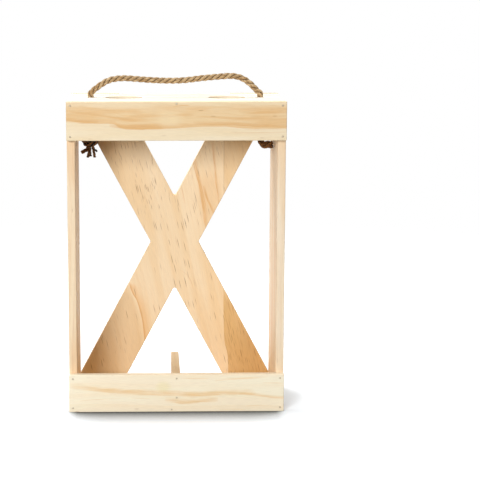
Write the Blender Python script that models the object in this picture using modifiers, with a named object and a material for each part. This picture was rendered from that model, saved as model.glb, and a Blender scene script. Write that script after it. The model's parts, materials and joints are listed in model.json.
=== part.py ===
"""A two-bottle wine crate of pine boards with a crossed back panel and a rope handle.

Metres, +Z up. The origin is under the middle of the crate, on the surface that it
stands on. The low rails face -Y and the crossed panel faces +Y.
"""

import math

import bmesh
import bpy
import numpy as np
from mathutils import Matrix, Vector

# The crate's outer size and its boards
crate_width = 0.216
crate_depth = 0.112
crate_height = 0.312
board = 0.008
joint_gap = 0.0003
edge_ease = 0.0005
rail_height = 0.0382
divider_height = 0.029

# The crossed panel, cut from one board
arm_width = 0.0503
notch_radius = 0.0018
notch_steps = 4
flat_side_angle = math.radians(1)

# The holes in the top panel
neck_hole_diameter = 0.038
neck_hole_sides = 40
rope_diameter = 0.006
rope_clearance = 0.001
rope_hole_from_side = 0.0225
rope_hole_sides = 16

# The brad nails
nail_diameter = 0.0015
nail_length = 0.025
nail_point = 0.0018
nail_blunt = 0.0002
nail_sunk = 0.0004
nail_clearance = 0.00025
nail_sides = 8
rail_nail_from_edge = 0.004
centre_nail_from_edge = 0.002
foot_nail_aside = 0.005
divider_nail_height = 0.0145
arm_nail_first = 0.009
arm_nail_spacing = 0.0145
arm_nails = 3
panel_nail_past_rail_nail = 0.0066
divider_nail_past_rail_nail = 0.0106

# The rope handle
left_knot_drop = 0.023
right_knot_drop = 0.017
knot_half_height = 0.0095
knot_foot_height = 0.0080
knot_foot_gap = 0.0007
rope_play = 0.0003
rope_round_steps = 3
strand_round_steps = 2
tail_right_diameter = 0.0058
strand_diameter = 0.0030
strand_ring_radius = 0.0029

overrun = 0.002

# Places that follow from the sizes above
half_width = crate_width / 2
half_depth = crate_depth / 2
panel_depth = crate_depth - 2 * board - 2 * joint_gap
side_height = crate_height - 2 * board - 2 * joint_gap
underside = crate_height - board
rope_hole_x = half_width - rope_hole_from_side
rope_hole_diameter = rope_diameter + 2 * rope_clearance
bay_width = (crate_width - 3 * board) / 2
neck_hole_x = (board + bay_width) / 2
arm_slope = (crate_width - arm_width) / crate_height
knot_middles = {
    "left": underside - left_knot_drop - knot_half_height,
    "right": underside - right_knot_drop - knot_half_height,
}
pivot_height = crate_height + rope_diameter / 2 + rope_play
rail_nail_tip = half_depth - nail_sunk - nail_length
panel_nail_y = rail_nail_tip - panel_nail_past_rail_nail
divider_nail_y = rail_nail_tip - divider_nail_past_rail_nail

# The handle's middle line over the top panel, from the left hole to the right one
handle_route = [
    (-0.0855, 0.0000, 0.3153),
    (-0.0842, 0.0000, 0.3177),
    (-0.0808, 0.0000, 0.3206),
    (-0.0766, 0.0000, 0.3237),
    (-0.0722, 0.0001, 0.3266),
    (-0.0672, 0.0002, 0.3290),
    (-0.0605, 0.0003, 0.3306),
    (-0.0510, 0.0005, 0.3312),
    (-0.0390, 0.0006, 0.3304),
    (-0.0285, 0.0006, 0.3296),
    (-0.0180, 0.0005, 0.3290),
    (-0.0070, 0.0003, 0.3287),
    (0.0045, 0.0001, 0.3289),
    (0.0150, -0.0002, 0.3298),
    (0.0255, -0.0004, 0.3311),
    (0.0390, -0.0006, 0.3324),
    (0.0530, -0.0006, 0.3334),
    (0.0605, -0.0005, 0.3330),
    (0.0668, -0.0003, 0.3312),
    (0.0722, -0.0002, 0.3280),
    (0.0772, -0.0001, 0.3239),
    (0.0818, 0.0000, 0.3190),
    (0.0845, 0.0000, 0.3169),
    (0.0855, 0.0000, 0.3153),
]

# The lower points of the cut end under the right knot, which leans on the side board
tail_right_route = [
    (0.0872, -0.0003, 0.2655),
    (0.0888, -0.0005, 0.2643),
    (0.0910, -0.0005, 0.2638),
    (0.0938, -0.0004, 0.2638),
    (0.0962, -0.0003, 0.2640),
    (0.0980, -0.0002, 0.2642),
]

# The loose strands under the left knot: each one's start angle, and its lower points
strand_routes = [
    (180, [(-0.0893, -0.0009, 0.2594), (-0.0925, -0.0005, 0.2578), (-0.0950, -0.0003, 0.2560)]),
    (252, [(-0.0872, -0.0049, 0.2578), (-0.0882, -0.0055, 0.2548), (-0.0888, -0.0057, 0.2518)]),
    (108, [(-0.0868, 0.0021, 0.2578), (-0.0867, 0.0031, 0.2548), (-0.0862, 0.0035, 0.2520)]),
    (324, [(-0.0828, -0.0041, 0.2578), (-0.0823, -0.0049, 0.2548), (-0.0818, -0.0053, 0.2518)]),
    (36, [(-0.0822, 0.0013, 0.2592), (-0.0808, 0.0019, 0.2581), (-0.0797, 0.0023, 0.2568)]),
]

# Shares of the rope's diameter and of its radius, and the knot's counts
cord_step_share = 2
dome_shares = [(-0.92, 0.39), (-0.71, 0.71), (-0.38, 0.92)]
knot_step_share = 0.3
knot_push_share = 0.25
knot_pull_share = 0.05
knot_bend_share = 0.05
knot_spread_share = 0.45
knot_thinner_share = 0.88
knot_slack_share = 0.9
knot_points = 60
knot_rounds = 700
knot_push_rounds = 3
knot_length_rounds = 8
knot_own_points = 6
knot_formula_share = 2.3

knot_turns = {"left": math.radians(300), "right": math.radians(75)}


def clear_scene():
    for item in list(bpy.data.objects):
        bpy.data.objects.remove(item, do_unlink=True)


def new_collection(name):
    made = bpy.data.collections.new(name)
    bpy.context.scene.collection.children.link(made)
    return made


def new_material(name, colour, roughness, metallic=0.0):
    made = bpy.data.materials.new(name)
    made.use_nodes = True
    shader = made.node_tree.nodes["Principled BSDF"]
    shader.inputs["Base Color"].default_value = (*colour, 1.0)
    shader.inputs["Roughness"].default_value = roughness
    shader.inputs["Metallic"].default_value = metallic
    return made


def new_object(name, data, collection, material=None):
    made = bpy.data.objects.new(name, data)
    collection.objects.link(made)
    if material:
        data.materials.append(material)
    return made


def hide_as_cutter(item):
    item.hide_render = True
    item.display_type = "WIRE"


def box_mesh(name, size):
    """A box of this size around the origin."""
    shape = bmesh.new()
    bmesh.ops.create_cube(shape, size=1, matrix=Matrix.Diagonal((*size, 1)))
    mesh = bpy.data.meshes.new(name)
    shape.to_mesh(mesh)
    shape.free()
    return mesh


def add_cut(item, cutter, name):
    cut = item.modifiers.new(name, "BOOLEAN")
    cut.operation = "DIFFERENCE"
    cut.solver = "EXACT"
    cut.object = cutter


def add_eased_edges(item):
    ease = item.modifiers.new("eased edges", "BEVEL")
    ease.width = edge_ease
    ease.segments = 1
    ease.limit_method = "ANGLE"


def add_board(name, size, centre, material, holes=None):
    """A sawn board with eased edges, its holes and its nail bores."""
    item = new_object(name, box_mesh(name, size), crate, material)
    item.location = centre
    if holes:
        add_cut(item, holes, "holes")
    add_eased_edges(item)
    add_cut(item, nail_bores, "nail bores")
    return item


def cylinders_object(name, cylinders, sides):
    """One cutter of separate cylinders, each given as centre, radius, depth and direction."""
    shape = bmesh.new()
    for centre, radius, depth, direction in cylinders:
        along = Vector(direction).to_track_quat("Z", "Y").to_matrix().to_4x4()
        bmesh.ops.create_cone(
            shape,
            cap_ends=True,
            segments=sides,
            radius1=radius,
            radius2=radius,
            depth=depth,
            matrix=Matrix.Translation(centre) @ along,
        )
    mesh = bpy.data.meshes.new(name)
    shape.to_mesh(mesh)
    shape.free()
    made = new_object(name, mesh, cutters)
    hide_as_cutter(made)
    return made


def nail_places():
    """Each nail's name, where its head enters a board, and the way it was driven."""
    edge_x = half_width - board / 2
    top = crate_height - board / 2
    foot = board / 2
    front, back = -half_depth, half_depth
    inward, outward, down, up = (0, 1, 0), (0, -1, 0), (0, 0, -1), (0, 0, 1)
    low_row = crate_height - rail_height + rail_nail_from_edge
    high_row = rail_height - rail_nail_from_edge
    places = [("top_rail_centre", (0, front, crate_height - centre_nail_from_edge), inward)]
    places += [("bottom_rail_divider_high", (0, front, high_row), inward)]
    places += [("bottom_rail_divider_low", (0, front, divider_nail_height), inward)]
    places += [("bottom_rail_foot", (-foot_nail_aside, front, centre_nail_from_edge), inward)]
    for side, sign in (("left", -1), ("right", 1)):
        places += [
            (f"top_rail_{side}_high", (sign * edge_x, front, top), inward),
            (f"top_rail_{side}_low", (sign * edge_x, front, low_row), inward),
            (f"bottom_rail_{side}_high", (sign * edge_x, front, high_row), inward),
            (f"bottom_rail_{side}_low", (sign * edge_x, front, foot), inward),
        ]
        for number in range(arm_nails):
            x = sign * (half_width - arm_nail_first - number * arm_nail_spacing)
            places += [
                (f"arm_top_{side}_{number + 1}", (x, back, top), outward),
                (f"arm_bottom_{side}_{number + 1}", (x, back, foot), outward),
            ]
        for end, y in (("front", -panel_nail_y), ("back", panel_nail_y)):
            places += [
                (f"top_panel_{side}_{end}", (sign * edge_x, y, crate_height), down),
                (f"bottom_panel_{side}_{end}", (sign * edge_x, y, 0), up),
            ]
    for end, y in (("front", -divider_nail_y), ("back", divider_nail_y)):
        places += [(f"divider_{end}", (0, y, 0), up)]
    return places


def nail_bore_list():
    bores = []
    depth = nail_length + nail_sunk + nail_clearance + overrun
    for _, place, direction in nail_places():
        start = Vector(place) - overrun * Vector(direction)
        middle = start + depth / 2 * Vector(direction)
        bores.append((middle, nail_diameter / 2 + nail_clearance, depth, direction))
    return bores


def nail_mesh():
    """A brad nail along +Z, its head's face at the origin: a turned profile."""
    radius = nail_diameter / 2
    tip = nail_length - nail_point
    profile = [(0, nail_length), (nail_blunt, nail_length), (radius, tip)]
    profile += [(radius, nail_blunt), (radius - nail_blunt, 0), (0, 0)]
    shape = bmesh.new()
    points = [shape.verts.new((x, 0, z)) for x, z in profile]
    for first, second in zip(points[:-1], points[1:]):
        shape.edges.new((first, second))
    mesh = bpy.data.meshes.new("nail_profile")
    shape.to_mesh(mesh)
    shape.free()
    turned = new_object("nail_profile", mesh, cutters)
    screw = turned.modifiers.new("turn", "SCREW")
    screw.steps = nail_sides
    screw.render_steps = nail_sides
    screw.use_merge_vertices = True
    screw.merge_threshold = nail_blunt / 10
    graph = bpy.context.evaluated_depsgraph_get()
    made = bpy.data.meshes.new_from_object(turned.evaluated_get(graph))
    made.name = "brad_nail"
    bpy.data.objects.remove(turned, do_unlink=True)
    return made


def add_nails(material):
    shared = nail_mesh()
    shared.materials.append(material)
    for name, place, direction in nail_places():
        nail = new_object(f"nail_{name}", shared, crate)
        nail.location = Vector(place) + nail_sunk * Vector(direction)
        nail.rotation_mode = "QUATERNION"
        nail.rotation_quaternion = Vector(direction).to_track_quat("Z", "Y")


def rounded_corner(before, corner, after):
    """The corner of an outline as an arc that touches both of its sides."""
    corner = Vector(corner)
    first = (Vector(before) - corner).normalized()
    second = (Vector(after) - corner).normalized()
    half_angle = first.angle(second) / 2
    middle = corner + (first + second).normalized() * notch_radius / math.sin(half_angle)
    start = corner + first * notch_radius / math.tan(half_angle) - middle
    end = corner + second * notch_radius / math.tan(half_angle) - middle
    points = []
    for step in range(notch_steps + 1):
        share = step / notch_steps
        spoke = (start * (1 - share) + end * share).normalized()
        points.append(tuple(middle + spoke * notch_radius))
    return points


def crossed_outline():
    """The crossed panel's outline, from its lower left corner to the right."""
    low_notch = (0, (half_width - arm_width) / arm_slope)
    high_notch = (0, crate_height - low_notch[1])
    left_notch = (-arm_width / 2, crate_height / 2)
    right_notch = (arm_width / 2, crate_height / 2)
    inner = half_width - arm_width
    corners = [
        (-half_width, 0),
        (-inner, 0),
        low_notch,
        (inner, 0),
        (half_width, 0),
        right_notch,
        (half_width, crate_height),
        (inner, crate_height),
        high_notch,
        (-inner, crate_height),
        (-half_width, crate_height),
        left_notch,
    ]
    notches = (low_notch, high_notch, left_notch, right_notch)
    points = []
    for number, corner in enumerate(corners):
        if corner in notches:
            after = corners[(number + 1) % len(corners)]
            points += rounded_corner(corners[number - 1], corner, after)
        else:
            points.append(corner)
    return points


def curve_to_mesh(item, weld):
    """Makes a curve a mesh with its caps welded on and each flat side one face, so it can be cut."""
    graph = bpy.context.evaluated_depsgraph_get()
    mesh = bpy.data.meshes.new_from_object(item.evaluated_get(graph))
    shape = bmesh.new()
    shape.from_mesh(mesh)
    bmesh.ops.remove_doubles(shape, verts=shape.verts, dist=weld)
    bmesh.ops.dissolve_limit(
        shape, angle_limit=flat_side_angle, verts=shape.verts, edges=shape.edges
    )
    bmesh.ops.recalc_face_normals(shape, faces=shape.faces)
    shape.to_mesh(mesh)
    shape.free()
    made = new_object(item.name + "_mesh", mesh, crate)
    made.matrix_world = item.matrix_world.copy()
    name = item.name
    bpy.data.objects.remove(item, do_unlink=True)
    made.name = name
    return made


def add_crossed_panel(material):
    outline = crossed_outline()
    curve = bpy.data.curves.new("crossed_panel", "CURVE")
    curve.dimensions = "2D"
    curve.fill_mode = "BOTH"
    curve.extrude = board / 2
    spline = curve.splines.new("POLY")
    spline.points.add(len(outline) - 1)
    spline.use_cyclic_u = True
    for point, (x, z) in zip(spline.points, outline):
        point.co = (x, z, 0, 1)
    item = new_object("crossed_panel", curve, crate, material)
    item.location = (0, half_depth - board / 2, 0)
    item.rotation_euler = (math.pi / 2, 0, 0)
    bpy.context.view_layer.update()
    item = curve_to_mesh(item, joint_gap / 10)
    add_eased_edges(item)
    add_cut(item, nail_bores, "nail bores")
    return item


def smooth_route(route, spacing):
    """Points about spacing apart on a smooth curve through the route's own points."""
    fine_steps = 20
    points = [Vector(p) for p in route]
    padded = [2 * points[0] - points[1], *points, 2 * points[-1] - points[-2]]
    fine = []
    for number in range(1, len(padded) - 2):
        before, start, end, after = padded[number - 1 : number + 3]
        for step in range(fine_steps):
            t = step / fine_steps
            fine.append(
                0.5
                * (
                    2 * start
                    + (end - before) * t
                    + (2 * before - 5 * start + 4 * end - after) * t**2
                    + (3 * start - before - 3 * end + after) * t**3
                )
            )
    fine.append(points[-1])
    along = [0.0]
    for first, second in zip(fine[:-1], fine[1:]):
        along.append(along[-1] + (second - first).length)
    count = max(2, round(along[-1] / spacing) + 1)
    wanted = np.linspace(0, along[-1], count)
    columns = [np.interp(wanted, along, [p[axis] for p in fine]) for axis in range(3)]
    return [Vector(p) for p in zip(*columns)], along[-1]


def add_tube(name, points, diameter, level, material, parent=None, radii=None):
    curve = bpy.data.curves.new(name, "CURVE")
    curve.dimensions = "3D"
    curve.bevel_depth = diameter / 2
    curve.bevel_resolution = level
    curve.use_fill_caps = True
    spline = curve.splines.new("POLY")
    spline.points.add(len(points) - 1)
    for number, (point, place) in enumerate(zip(spline.points, points)):
        point.co = (*place, 1)
        point.radius = radii[number] if radii else 1
    item = new_object(name, curve, crate, material)
    if parent:
        item.parent = parent
        item.matrix_parent_inverse = parent.matrix_world.inverted()
    return item


def add_handle(material, pivot):
    """The free stretch over the top panel, with a rounded foot at each end that turns on its pivot."""
    points, length = smooth_route(handle_route, cord_step_share * rope_diameter)
    feet = []
    for end, beyond in ((points[0], points[1]), (points[-1], points[-2])):
        towards = (beyond - end).normalized()
        feet.append([end + towards * share * rope_diameter / 2 for share, _ in dome_shares])
    radii = [radius for _, radius in dome_shares]
    line = feet[0] + points + feet[1][::-1]
    thick = radii + [1] * len(points) + radii[::-1]
    add_tube("rope_handle", line, rope_diameter, rope_round_steps, material, pivot, thick)
    print(f"the handle's free stretch is {length * 1000:.1f} mm long")


def overhand_line():
    """The middle line of an overhand knot, pulled tight along Z, from its top down."""
    t = np.linspace(-knot_formula_share, knot_formula_share, knot_points)
    line = np.stack([t**3 - 3 * t, t**4 - 4 * t**2, (10 * t - t**5) / 2], axis=1)
    line *= rope_diameter * knot_spread_share
    step = rope_diameter * knot_step_share
    first, second = np.triu_indices(knot_points, 2)
    least = np.minimum(rope_diameter, (second - first) * step * knot_slack_share)
    for _ in range(knot_rounds):
        line[1:-1] += knot_bend_share * (line[:-2] + line[2:] - 2 * line[1:-1])
        line[0, 2] += knot_pull_share * rope_diameter
        line[-1, 2] -= knot_pull_share * rope_diameter
        push_apart(line, first, second, least)
        keep_lengths(line, step)
    lead = line[:, 2] > knot_half_height
    line[:, :2] -= line[lead, :2].mean(axis=0)
    first, second = np.triu_indices(knot_points, knot_own_points)
    nearest = np.linalg.norm(line[second] - line[first], axis=1).min()
    gap = nearest - rope_diameter * knot_thinner_share
    print(f"the knot's rope keeps {gap * 1000:.2f} mm to itself")
    return line


def push_apart(line, first, second, least):
    """Moves stretches of rope that lie closer than its diameter away from each other."""
    for _ in range(knot_push_rounds):
        between = line[second] - line[first]
        far = np.linalg.norm(between, axis=1)
        hit = far < least
        push = knot_push_share * (least[hit] - far[hit]) / far[hit]
        np.add.at(line, first[hit], -push[:, None] * between[hit])
        np.add.at(line, second[hit], push[:, None] * between[hit])


def keep_lengths(line, step):
    """Gives each stretch between two points its own length again."""
    for _ in range(knot_length_rounds):
        for start in (0, 1):
            pairs = (len(line) - start) // 2
            one = line[start : start + 2 * pairs : 2]
            two = line[start + 1 : start + 1 + 2 * pairs : 2]
            between = two - one
            far = np.linalg.norm(between, axis=1, keepdims=True)
            move = (far - step) / far * between / 2
            one += move
            two -= move
    line[:2, :2] /= 2
    line[-2:, :2] /= 2


def add_knot(side, sign, line, material):
    """A stopper knot under the top panel, with its rope up to the panel and out below."""
    turn = Matrix.Rotation(knot_turns[side], 4, "Z")
    kept = [Vector(p) for p in line if p[2] > -knot_foot_height]
    place = Matrix.Translation((sign * rope_hole_x, 0, knot_middles[side])) @ turn
    points = [place @ p for p in kept]
    thin = rope_diameter * knot_thinner_share
    add_tube(f"knot_{side}", points, thin, strand_round_steps, material)
    return points[0], points[-1]


def add_rope_end(side, sign, knot_top, material):
    """The stretch through the hole, between the knot's rope and the handle's foot."""
    low = Vector(knot_top) + Vector((0, 0, joint_gap))
    high = Vector((sign * rope_hole_x, 0, crate_height))
    add_tube(f"rope_end_{side}", [low, high], rope_diameter, rope_round_steps, material)


def add_cut_end(knot_foot, material):
    """The short rope end under the right knot."""
    start = knot_foot - Vector((0, 0, knot_foot_gap))
    below = start - Vector((0, 0, rope_diameter / 4))
    points, _ = smooth_route([start, below, *tail_right_route], rope_diameter / 2)
    add_tube("tail_right", points, tail_right_diameter, rope_round_steps, material)


def add_loose_strands(knot_foot, material):
    """The strands that have come apart under the left knot."""
    start_height = knot_foot.z - strand_diameter / 2 - joint_gap
    for number, (angle, lower) in enumerate(strand_routes, start=1):
        x = knot_foot.x + strand_ring_radius * math.cos(math.radians(angle))
        y = knot_foot.y + strand_ring_radius * math.sin(math.radians(angle))
        points, _ = smooth_route([(x, y, start_height), *lower], strand_diameter)
        name = f"tail_left_{number}"
        add_tube(name, points, strand_diameter, strand_round_steps, material)


clear_scene()
crate = new_collection("wine_crate")
cutters = new_collection("cutters")

pine = new_material("pine", (0.80, 0.60, 0.36), 0.62)
pale_pine = new_material("pale_pine", (0.86, 0.70, 0.47), 0.62)
jute = new_material("jute", (0.50, 0.32, 0.15), 0.9)
steel = new_material("nail_steel", (0.28, 0.26, 0.24), 0.45, 1.0)

nail_bores = cylinders_object("nail_bores", nail_bore_list(), nail_sides)
through = board + 2 * overrun
panel_middle = crate_height - board / 2
neck_bores = cylinders_object(
    "neck_bores",
    [((x, 0, panel_middle), neck_hole_diameter / 2, through, (0, 0, 1))
     for x in (-neck_hole_x, neck_hole_x)],
    neck_hole_sides,
)
rope_bores = cylinders_object(
    "rope_bores",
    [((x, 0, panel_middle), rope_hole_diameter / 2, through, (0, 0, 1))
     for x in (-rope_hole_x, rope_hole_x)],
    rope_hole_sides,
)

top_panel = add_board(
    "top_panel", (crate_width, panel_depth, board), (0, 0, panel_middle), pale_pine, neck_bores
)
add_cut(top_panel, rope_bores, "rope holes")
add_board("bottom_panel", (crate_width, panel_depth, board), (0, 0, board / 2), pine)
for side, sign in (("left", -1), ("right", 1)):
    add_board(
        f"side_board_{side}",
        (board, panel_depth, side_height),
        (sign * (half_width - board / 2), 0, crate_height / 2),
        pine,
    )
rail_size = (crate_width, board, rail_height)
rail_y = -half_depth + board / 2
add_board("top_rail", rail_size, (0, rail_y, crate_height - rail_height / 2), pine)
add_board("bottom_rail", rail_size, (0, rail_y, rail_height / 2), pale_pine)
divider_middle = board + joint_gap + divider_height / 2
add_board("divider", (board, panel_depth, divider_height), (0, 0, divider_middle), pine)
add_crossed_panel(pale_pine)
add_nails(steel)

pivot = bpy.data.objects.new("handle_pivot", None)
crate.objects.link(pivot)
pivot.location = (0, 0, pivot_height)
bpy.context.view_layer.update()
add_handle(jute, pivot)
knot_line = overhand_line()
knot_feet = {}
for side, sign in (("left", -1), ("right", 1)):
    knot_top, knot_feet[side] = add_knot(side, sign, knot_line, jute)
    add_rope_end(side, sign, knot_top, jute)
add_cut_end(knot_feet["right"], jute)
add_loose_strands(knot_feet["left"], jute)

for item in crate.objects:
    if item.type == "MESH":
        item.data.shade_flat()
print(f"{len(crate.objects) - 1} pieces; each bottle bay is {bay_width * 1000:.1f} mm wide")
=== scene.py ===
# %% [markdown]
# # A pine wine crate with a jute rope handle
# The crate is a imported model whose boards, nails and rope already have their real size and
# place. This lesson gives it its looks. It finishes each board as planed pine, and it makes
# the rope again as three twisted strands, with its two stopper knots and its frayed end.
# Everything is in metres: the crate's front faces -Y, +Z is up, and the floor is at 0.

# %% Load the frame
import json
import math

import bmesh
import bpy
import numpy as np
from mathutils import Matrix, Vector


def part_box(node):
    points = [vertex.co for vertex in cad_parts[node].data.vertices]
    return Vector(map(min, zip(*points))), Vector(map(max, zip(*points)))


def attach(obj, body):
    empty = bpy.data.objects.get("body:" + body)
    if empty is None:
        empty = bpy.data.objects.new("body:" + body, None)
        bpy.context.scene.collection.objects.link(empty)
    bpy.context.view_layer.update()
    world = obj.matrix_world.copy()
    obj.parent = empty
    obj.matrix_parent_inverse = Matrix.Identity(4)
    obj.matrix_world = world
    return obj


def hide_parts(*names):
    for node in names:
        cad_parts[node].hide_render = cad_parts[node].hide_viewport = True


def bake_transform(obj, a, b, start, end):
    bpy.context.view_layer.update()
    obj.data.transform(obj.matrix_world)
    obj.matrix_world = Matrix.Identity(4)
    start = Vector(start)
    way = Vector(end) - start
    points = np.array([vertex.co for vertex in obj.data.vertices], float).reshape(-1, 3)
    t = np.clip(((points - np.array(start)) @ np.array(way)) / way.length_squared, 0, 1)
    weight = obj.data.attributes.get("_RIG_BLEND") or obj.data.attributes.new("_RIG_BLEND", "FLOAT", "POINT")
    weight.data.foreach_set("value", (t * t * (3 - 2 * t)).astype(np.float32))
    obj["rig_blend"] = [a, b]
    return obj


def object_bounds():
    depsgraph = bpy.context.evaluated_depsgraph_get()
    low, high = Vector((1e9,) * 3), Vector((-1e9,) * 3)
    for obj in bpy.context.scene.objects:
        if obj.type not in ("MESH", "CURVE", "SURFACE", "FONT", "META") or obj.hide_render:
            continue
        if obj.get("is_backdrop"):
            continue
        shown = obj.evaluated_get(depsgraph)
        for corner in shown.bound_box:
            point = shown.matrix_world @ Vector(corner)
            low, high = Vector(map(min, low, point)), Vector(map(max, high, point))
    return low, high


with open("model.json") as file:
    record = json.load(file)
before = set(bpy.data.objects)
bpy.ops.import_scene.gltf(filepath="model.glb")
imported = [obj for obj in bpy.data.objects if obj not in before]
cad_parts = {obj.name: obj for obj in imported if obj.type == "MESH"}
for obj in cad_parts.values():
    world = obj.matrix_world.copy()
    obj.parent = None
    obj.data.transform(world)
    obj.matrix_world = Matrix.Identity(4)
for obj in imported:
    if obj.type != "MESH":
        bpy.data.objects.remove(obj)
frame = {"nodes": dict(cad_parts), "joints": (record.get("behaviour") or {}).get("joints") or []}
nodes = frame["nodes"]
cad_box = [list(corner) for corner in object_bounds()]
crate_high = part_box("crossed_panel")[1]
front_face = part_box("top_rail")[0].y
back_face = crate_high.y
panel_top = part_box("top_panel")[1].z
panel_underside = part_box("top_panel")[0].z
board = panel_top - panel_underside
mm = 0.001
print(f"{len(nodes)} solids; the crate's boards are {board / mm:.1f} mm thick")

# %% [markdown]
# ## Two small helpers
# Colours are easiest to choose as the hex values that a screen shows, but a shader wants
# linear light, so one function turns the first into the second. A node tree is a list of
# nodes with settings and links, so another function adds one node with both. Its inputs
# are a dictionary of names, or a list in the order that the node shows them. Most changes
# here start and end softly, which is one more setting of a Map Range node.

# %% Helpers
def linear(hex_colour):
    """The linear colour for an sRGB hex value."""
    shares = [int(hex_colour[start : start + 2], 16) / 255 for start in (0, 2, 4)]
    channels = [s / 12.92 if s <= 0.04045 else ((s + 0.055) / 1.055) ** 2.4 for s in shares]
    return (*channels, 1.0)


def add_node(tree, kind, inputs=(), **settings):
    """Adds a node, changes its settings, and fills its inputs, by name or in their order."""
    node = tree.nodes.new(kind)
    for setting, value in settings.items():
        setattr(node, setting, value)
    given = inputs if isinstance(inputs, dict) else dict(enumerate(inputs))
    for name, value in given.items():
        sockets = [socket for socket in node.inputs if socket.enabled]
        if isinstance(name, str):
            socket = next(socket for socket in sockets if socket.name == name)
        else:
            socket = sockets[name]
        if isinstance(value, bpy.types.Node):
            value = next(output for output in value.outputs if output.enabled)
        if isinstance(value, bpy.types.NodeSocket):
            tree.links.new(value, socket)
        else:
            socket.default_value = value
    return node


eased = {"interpolation_type": "SMOOTHSTEP"}
print("a mid grey of 808080 is", round(linear("808080")[0], 3), "in linear light")

# %% [markdown]
# ## Camera
# The photograph was taken from a little above the crate and a little to its left, with a
# long lens. The camera stands there and turns towards the rail, and a small sideways shift
# of the lens puts the crate left of the middle of the picture.

# %% Camera
camera_place = Vector((-0.032, front_face - 1.58, 0.4406))
camera_aim = Vector((0.0, front_face, 0.1753))
camera_lens = 121.5
camera_shift = 0.132

camera = bpy.data.objects.new("camera", bpy.data.cameras.new("camera"))
camera.data.lens = camera_lens
camera.data.shift_x = camera_shift
camera.location = camera_place
camera.rotation_euler = (camera_aim - camera_place).to_track_quat("-Z", "Y").to_euler()
bpy.context.scene.collection.objects.link(camera)
bpy.context.scene.camera = camera
print(f"the camera stands {(camera_aim - camera_place).length:.2f} m from the rail")

# %% [markdown]
# ## Studio
# A product photograph like this one is made in a white room: one broad lamp in front and to
# the left, one overhead, a weaker one behind, and white all round. One picture of a studio
# wrapped round the scene could light it too, but three lamps can be placed and changed one
# by one. The world is white where the camera, gloss or glass sees it, and dimmer as a
# light, so that the background is white without washing out the pale wood.

# %% World
fill_strength = 0.28
bpy.context.scene.view_settings.view_transform = "Standard"


def seen_directly(tree):
    """1 where the camera sees a thing, also in gloss or through glass, and 0 as a light."""
    ray = add_node(tree, "ShaderNodeLightPath").outputs
    seen = ray["Is Camera Ray"]
    for sight in ("Is Glossy Ray", "Is Transmission Ray"):
        seen = add_node(tree, "ShaderNodeMath", [seen, ray[sight]], operation="MAXIMUM")
    return seen


world = bpy.data.worlds.new("white_room")
bpy.context.scene.world = world
world.use_nodes = True
sky = world.node_tree
sky.nodes.clear()
seen = seen_directly(sky)
strength = add_node(sky, "ShaderNodeMapRange", {"Value": seen, "To Min": fill_strength})
glow = add_node(sky, "ShaderNodeBackground", {"Color": (1, 1, 1, 1), "Strength": strength})
add_node(sky, "ShaderNodeOutputWorld", {"Surface": glow})
print(f"the world lights the crate at {fill_strength} of white")


# %% Lamps
def add_lamp(name, place, aim, width, height, watts):
    """A soft rectangular lamp at a place, turned towards an aim."""
    lamp = bpy.data.objects.new(name, bpy.data.lights.new(name, "AREA"))
    lamp.data.shape = "RECTANGLE"
    lamp.data.size = width
    lamp.data.size_y = height
    lamp.data.energy = watts
    lamp.location = place
    lamp.rotation_euler = (Vector(aim) - Vector(place)).to_track_quat("-Z", "Y").to_euler()
    bpy.context.scene.collection.objects.link(lamp)
    print(f"{name}: {width} x {height} m, {watts} W")


crate_middle = (0.0, 0.0, crate_high.z / 2)
add_lamp("key_softbox", (-0.85, -2.28, 0.84), crate_middle, 0.75, 0.68, 43)
add_lamp("top_softbox", (0.0, 0.42, 2.3), crate_middle, 1.7, 1.4, 42)
add_lamp("back_softbox", (-0.8, 1.4, 0.8), crate_middle, 0.7, 0.7, 12)

# %% [markdown]
# ## Floor
# The crate stands on seamless white paper, with a thin dark line under its front. A plain
# white plane would render as a pale grey under lamps that suit the wood. So what the camera
# and gloss see is a little brighter than white, and what lights the crate is a mid grey.
# The lamps' own shadow stays, but the bright paper thins it where the crate touches, so
# ambient occlusion darkens the paper there, along the front only. The floor is a disc
# that fades out at its rim, where the white room shows, so it has no edge or horizon.

# %% The floor's disc
floor_radius = 1.2
floor_solid_radius = 0.55
rim_steps = 96
floor_mesh = bpy.data.meshes.new("white_floor")
rim = [2 * math.pi * step / rim_steps for step in range(rim_steps)]
floor_mesh.from_pydata(
    [(floor_radius * math.cos(a), floor_radius * math.sin(a), 0.0) for a in rim],
    [],
    [tuple(range(rim_steps))],
)
floor = bpy.data.objects.new("white_floor", floor_mesh)
bpy.context.scene.collection.objects.link(floor)
print(f"the floor is a disc of {2 * floor_radius} m")

# %% The floor's paper
paper_white = "f5f9fd"
paper_overexposure = 1.26
paper_as_light = "9c9c9b"
contact_reach = 48 * mm
contact_darkest = 0.46
contact_aside = 0.1
contact_past_ends = 0.35


def new_material(name):
    """A material with an empty node tree."""
    material = bpy.data.materials.new(name)
    material.use_nodes = True
    material.node_tree.nodes.clear()
    return material


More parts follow.
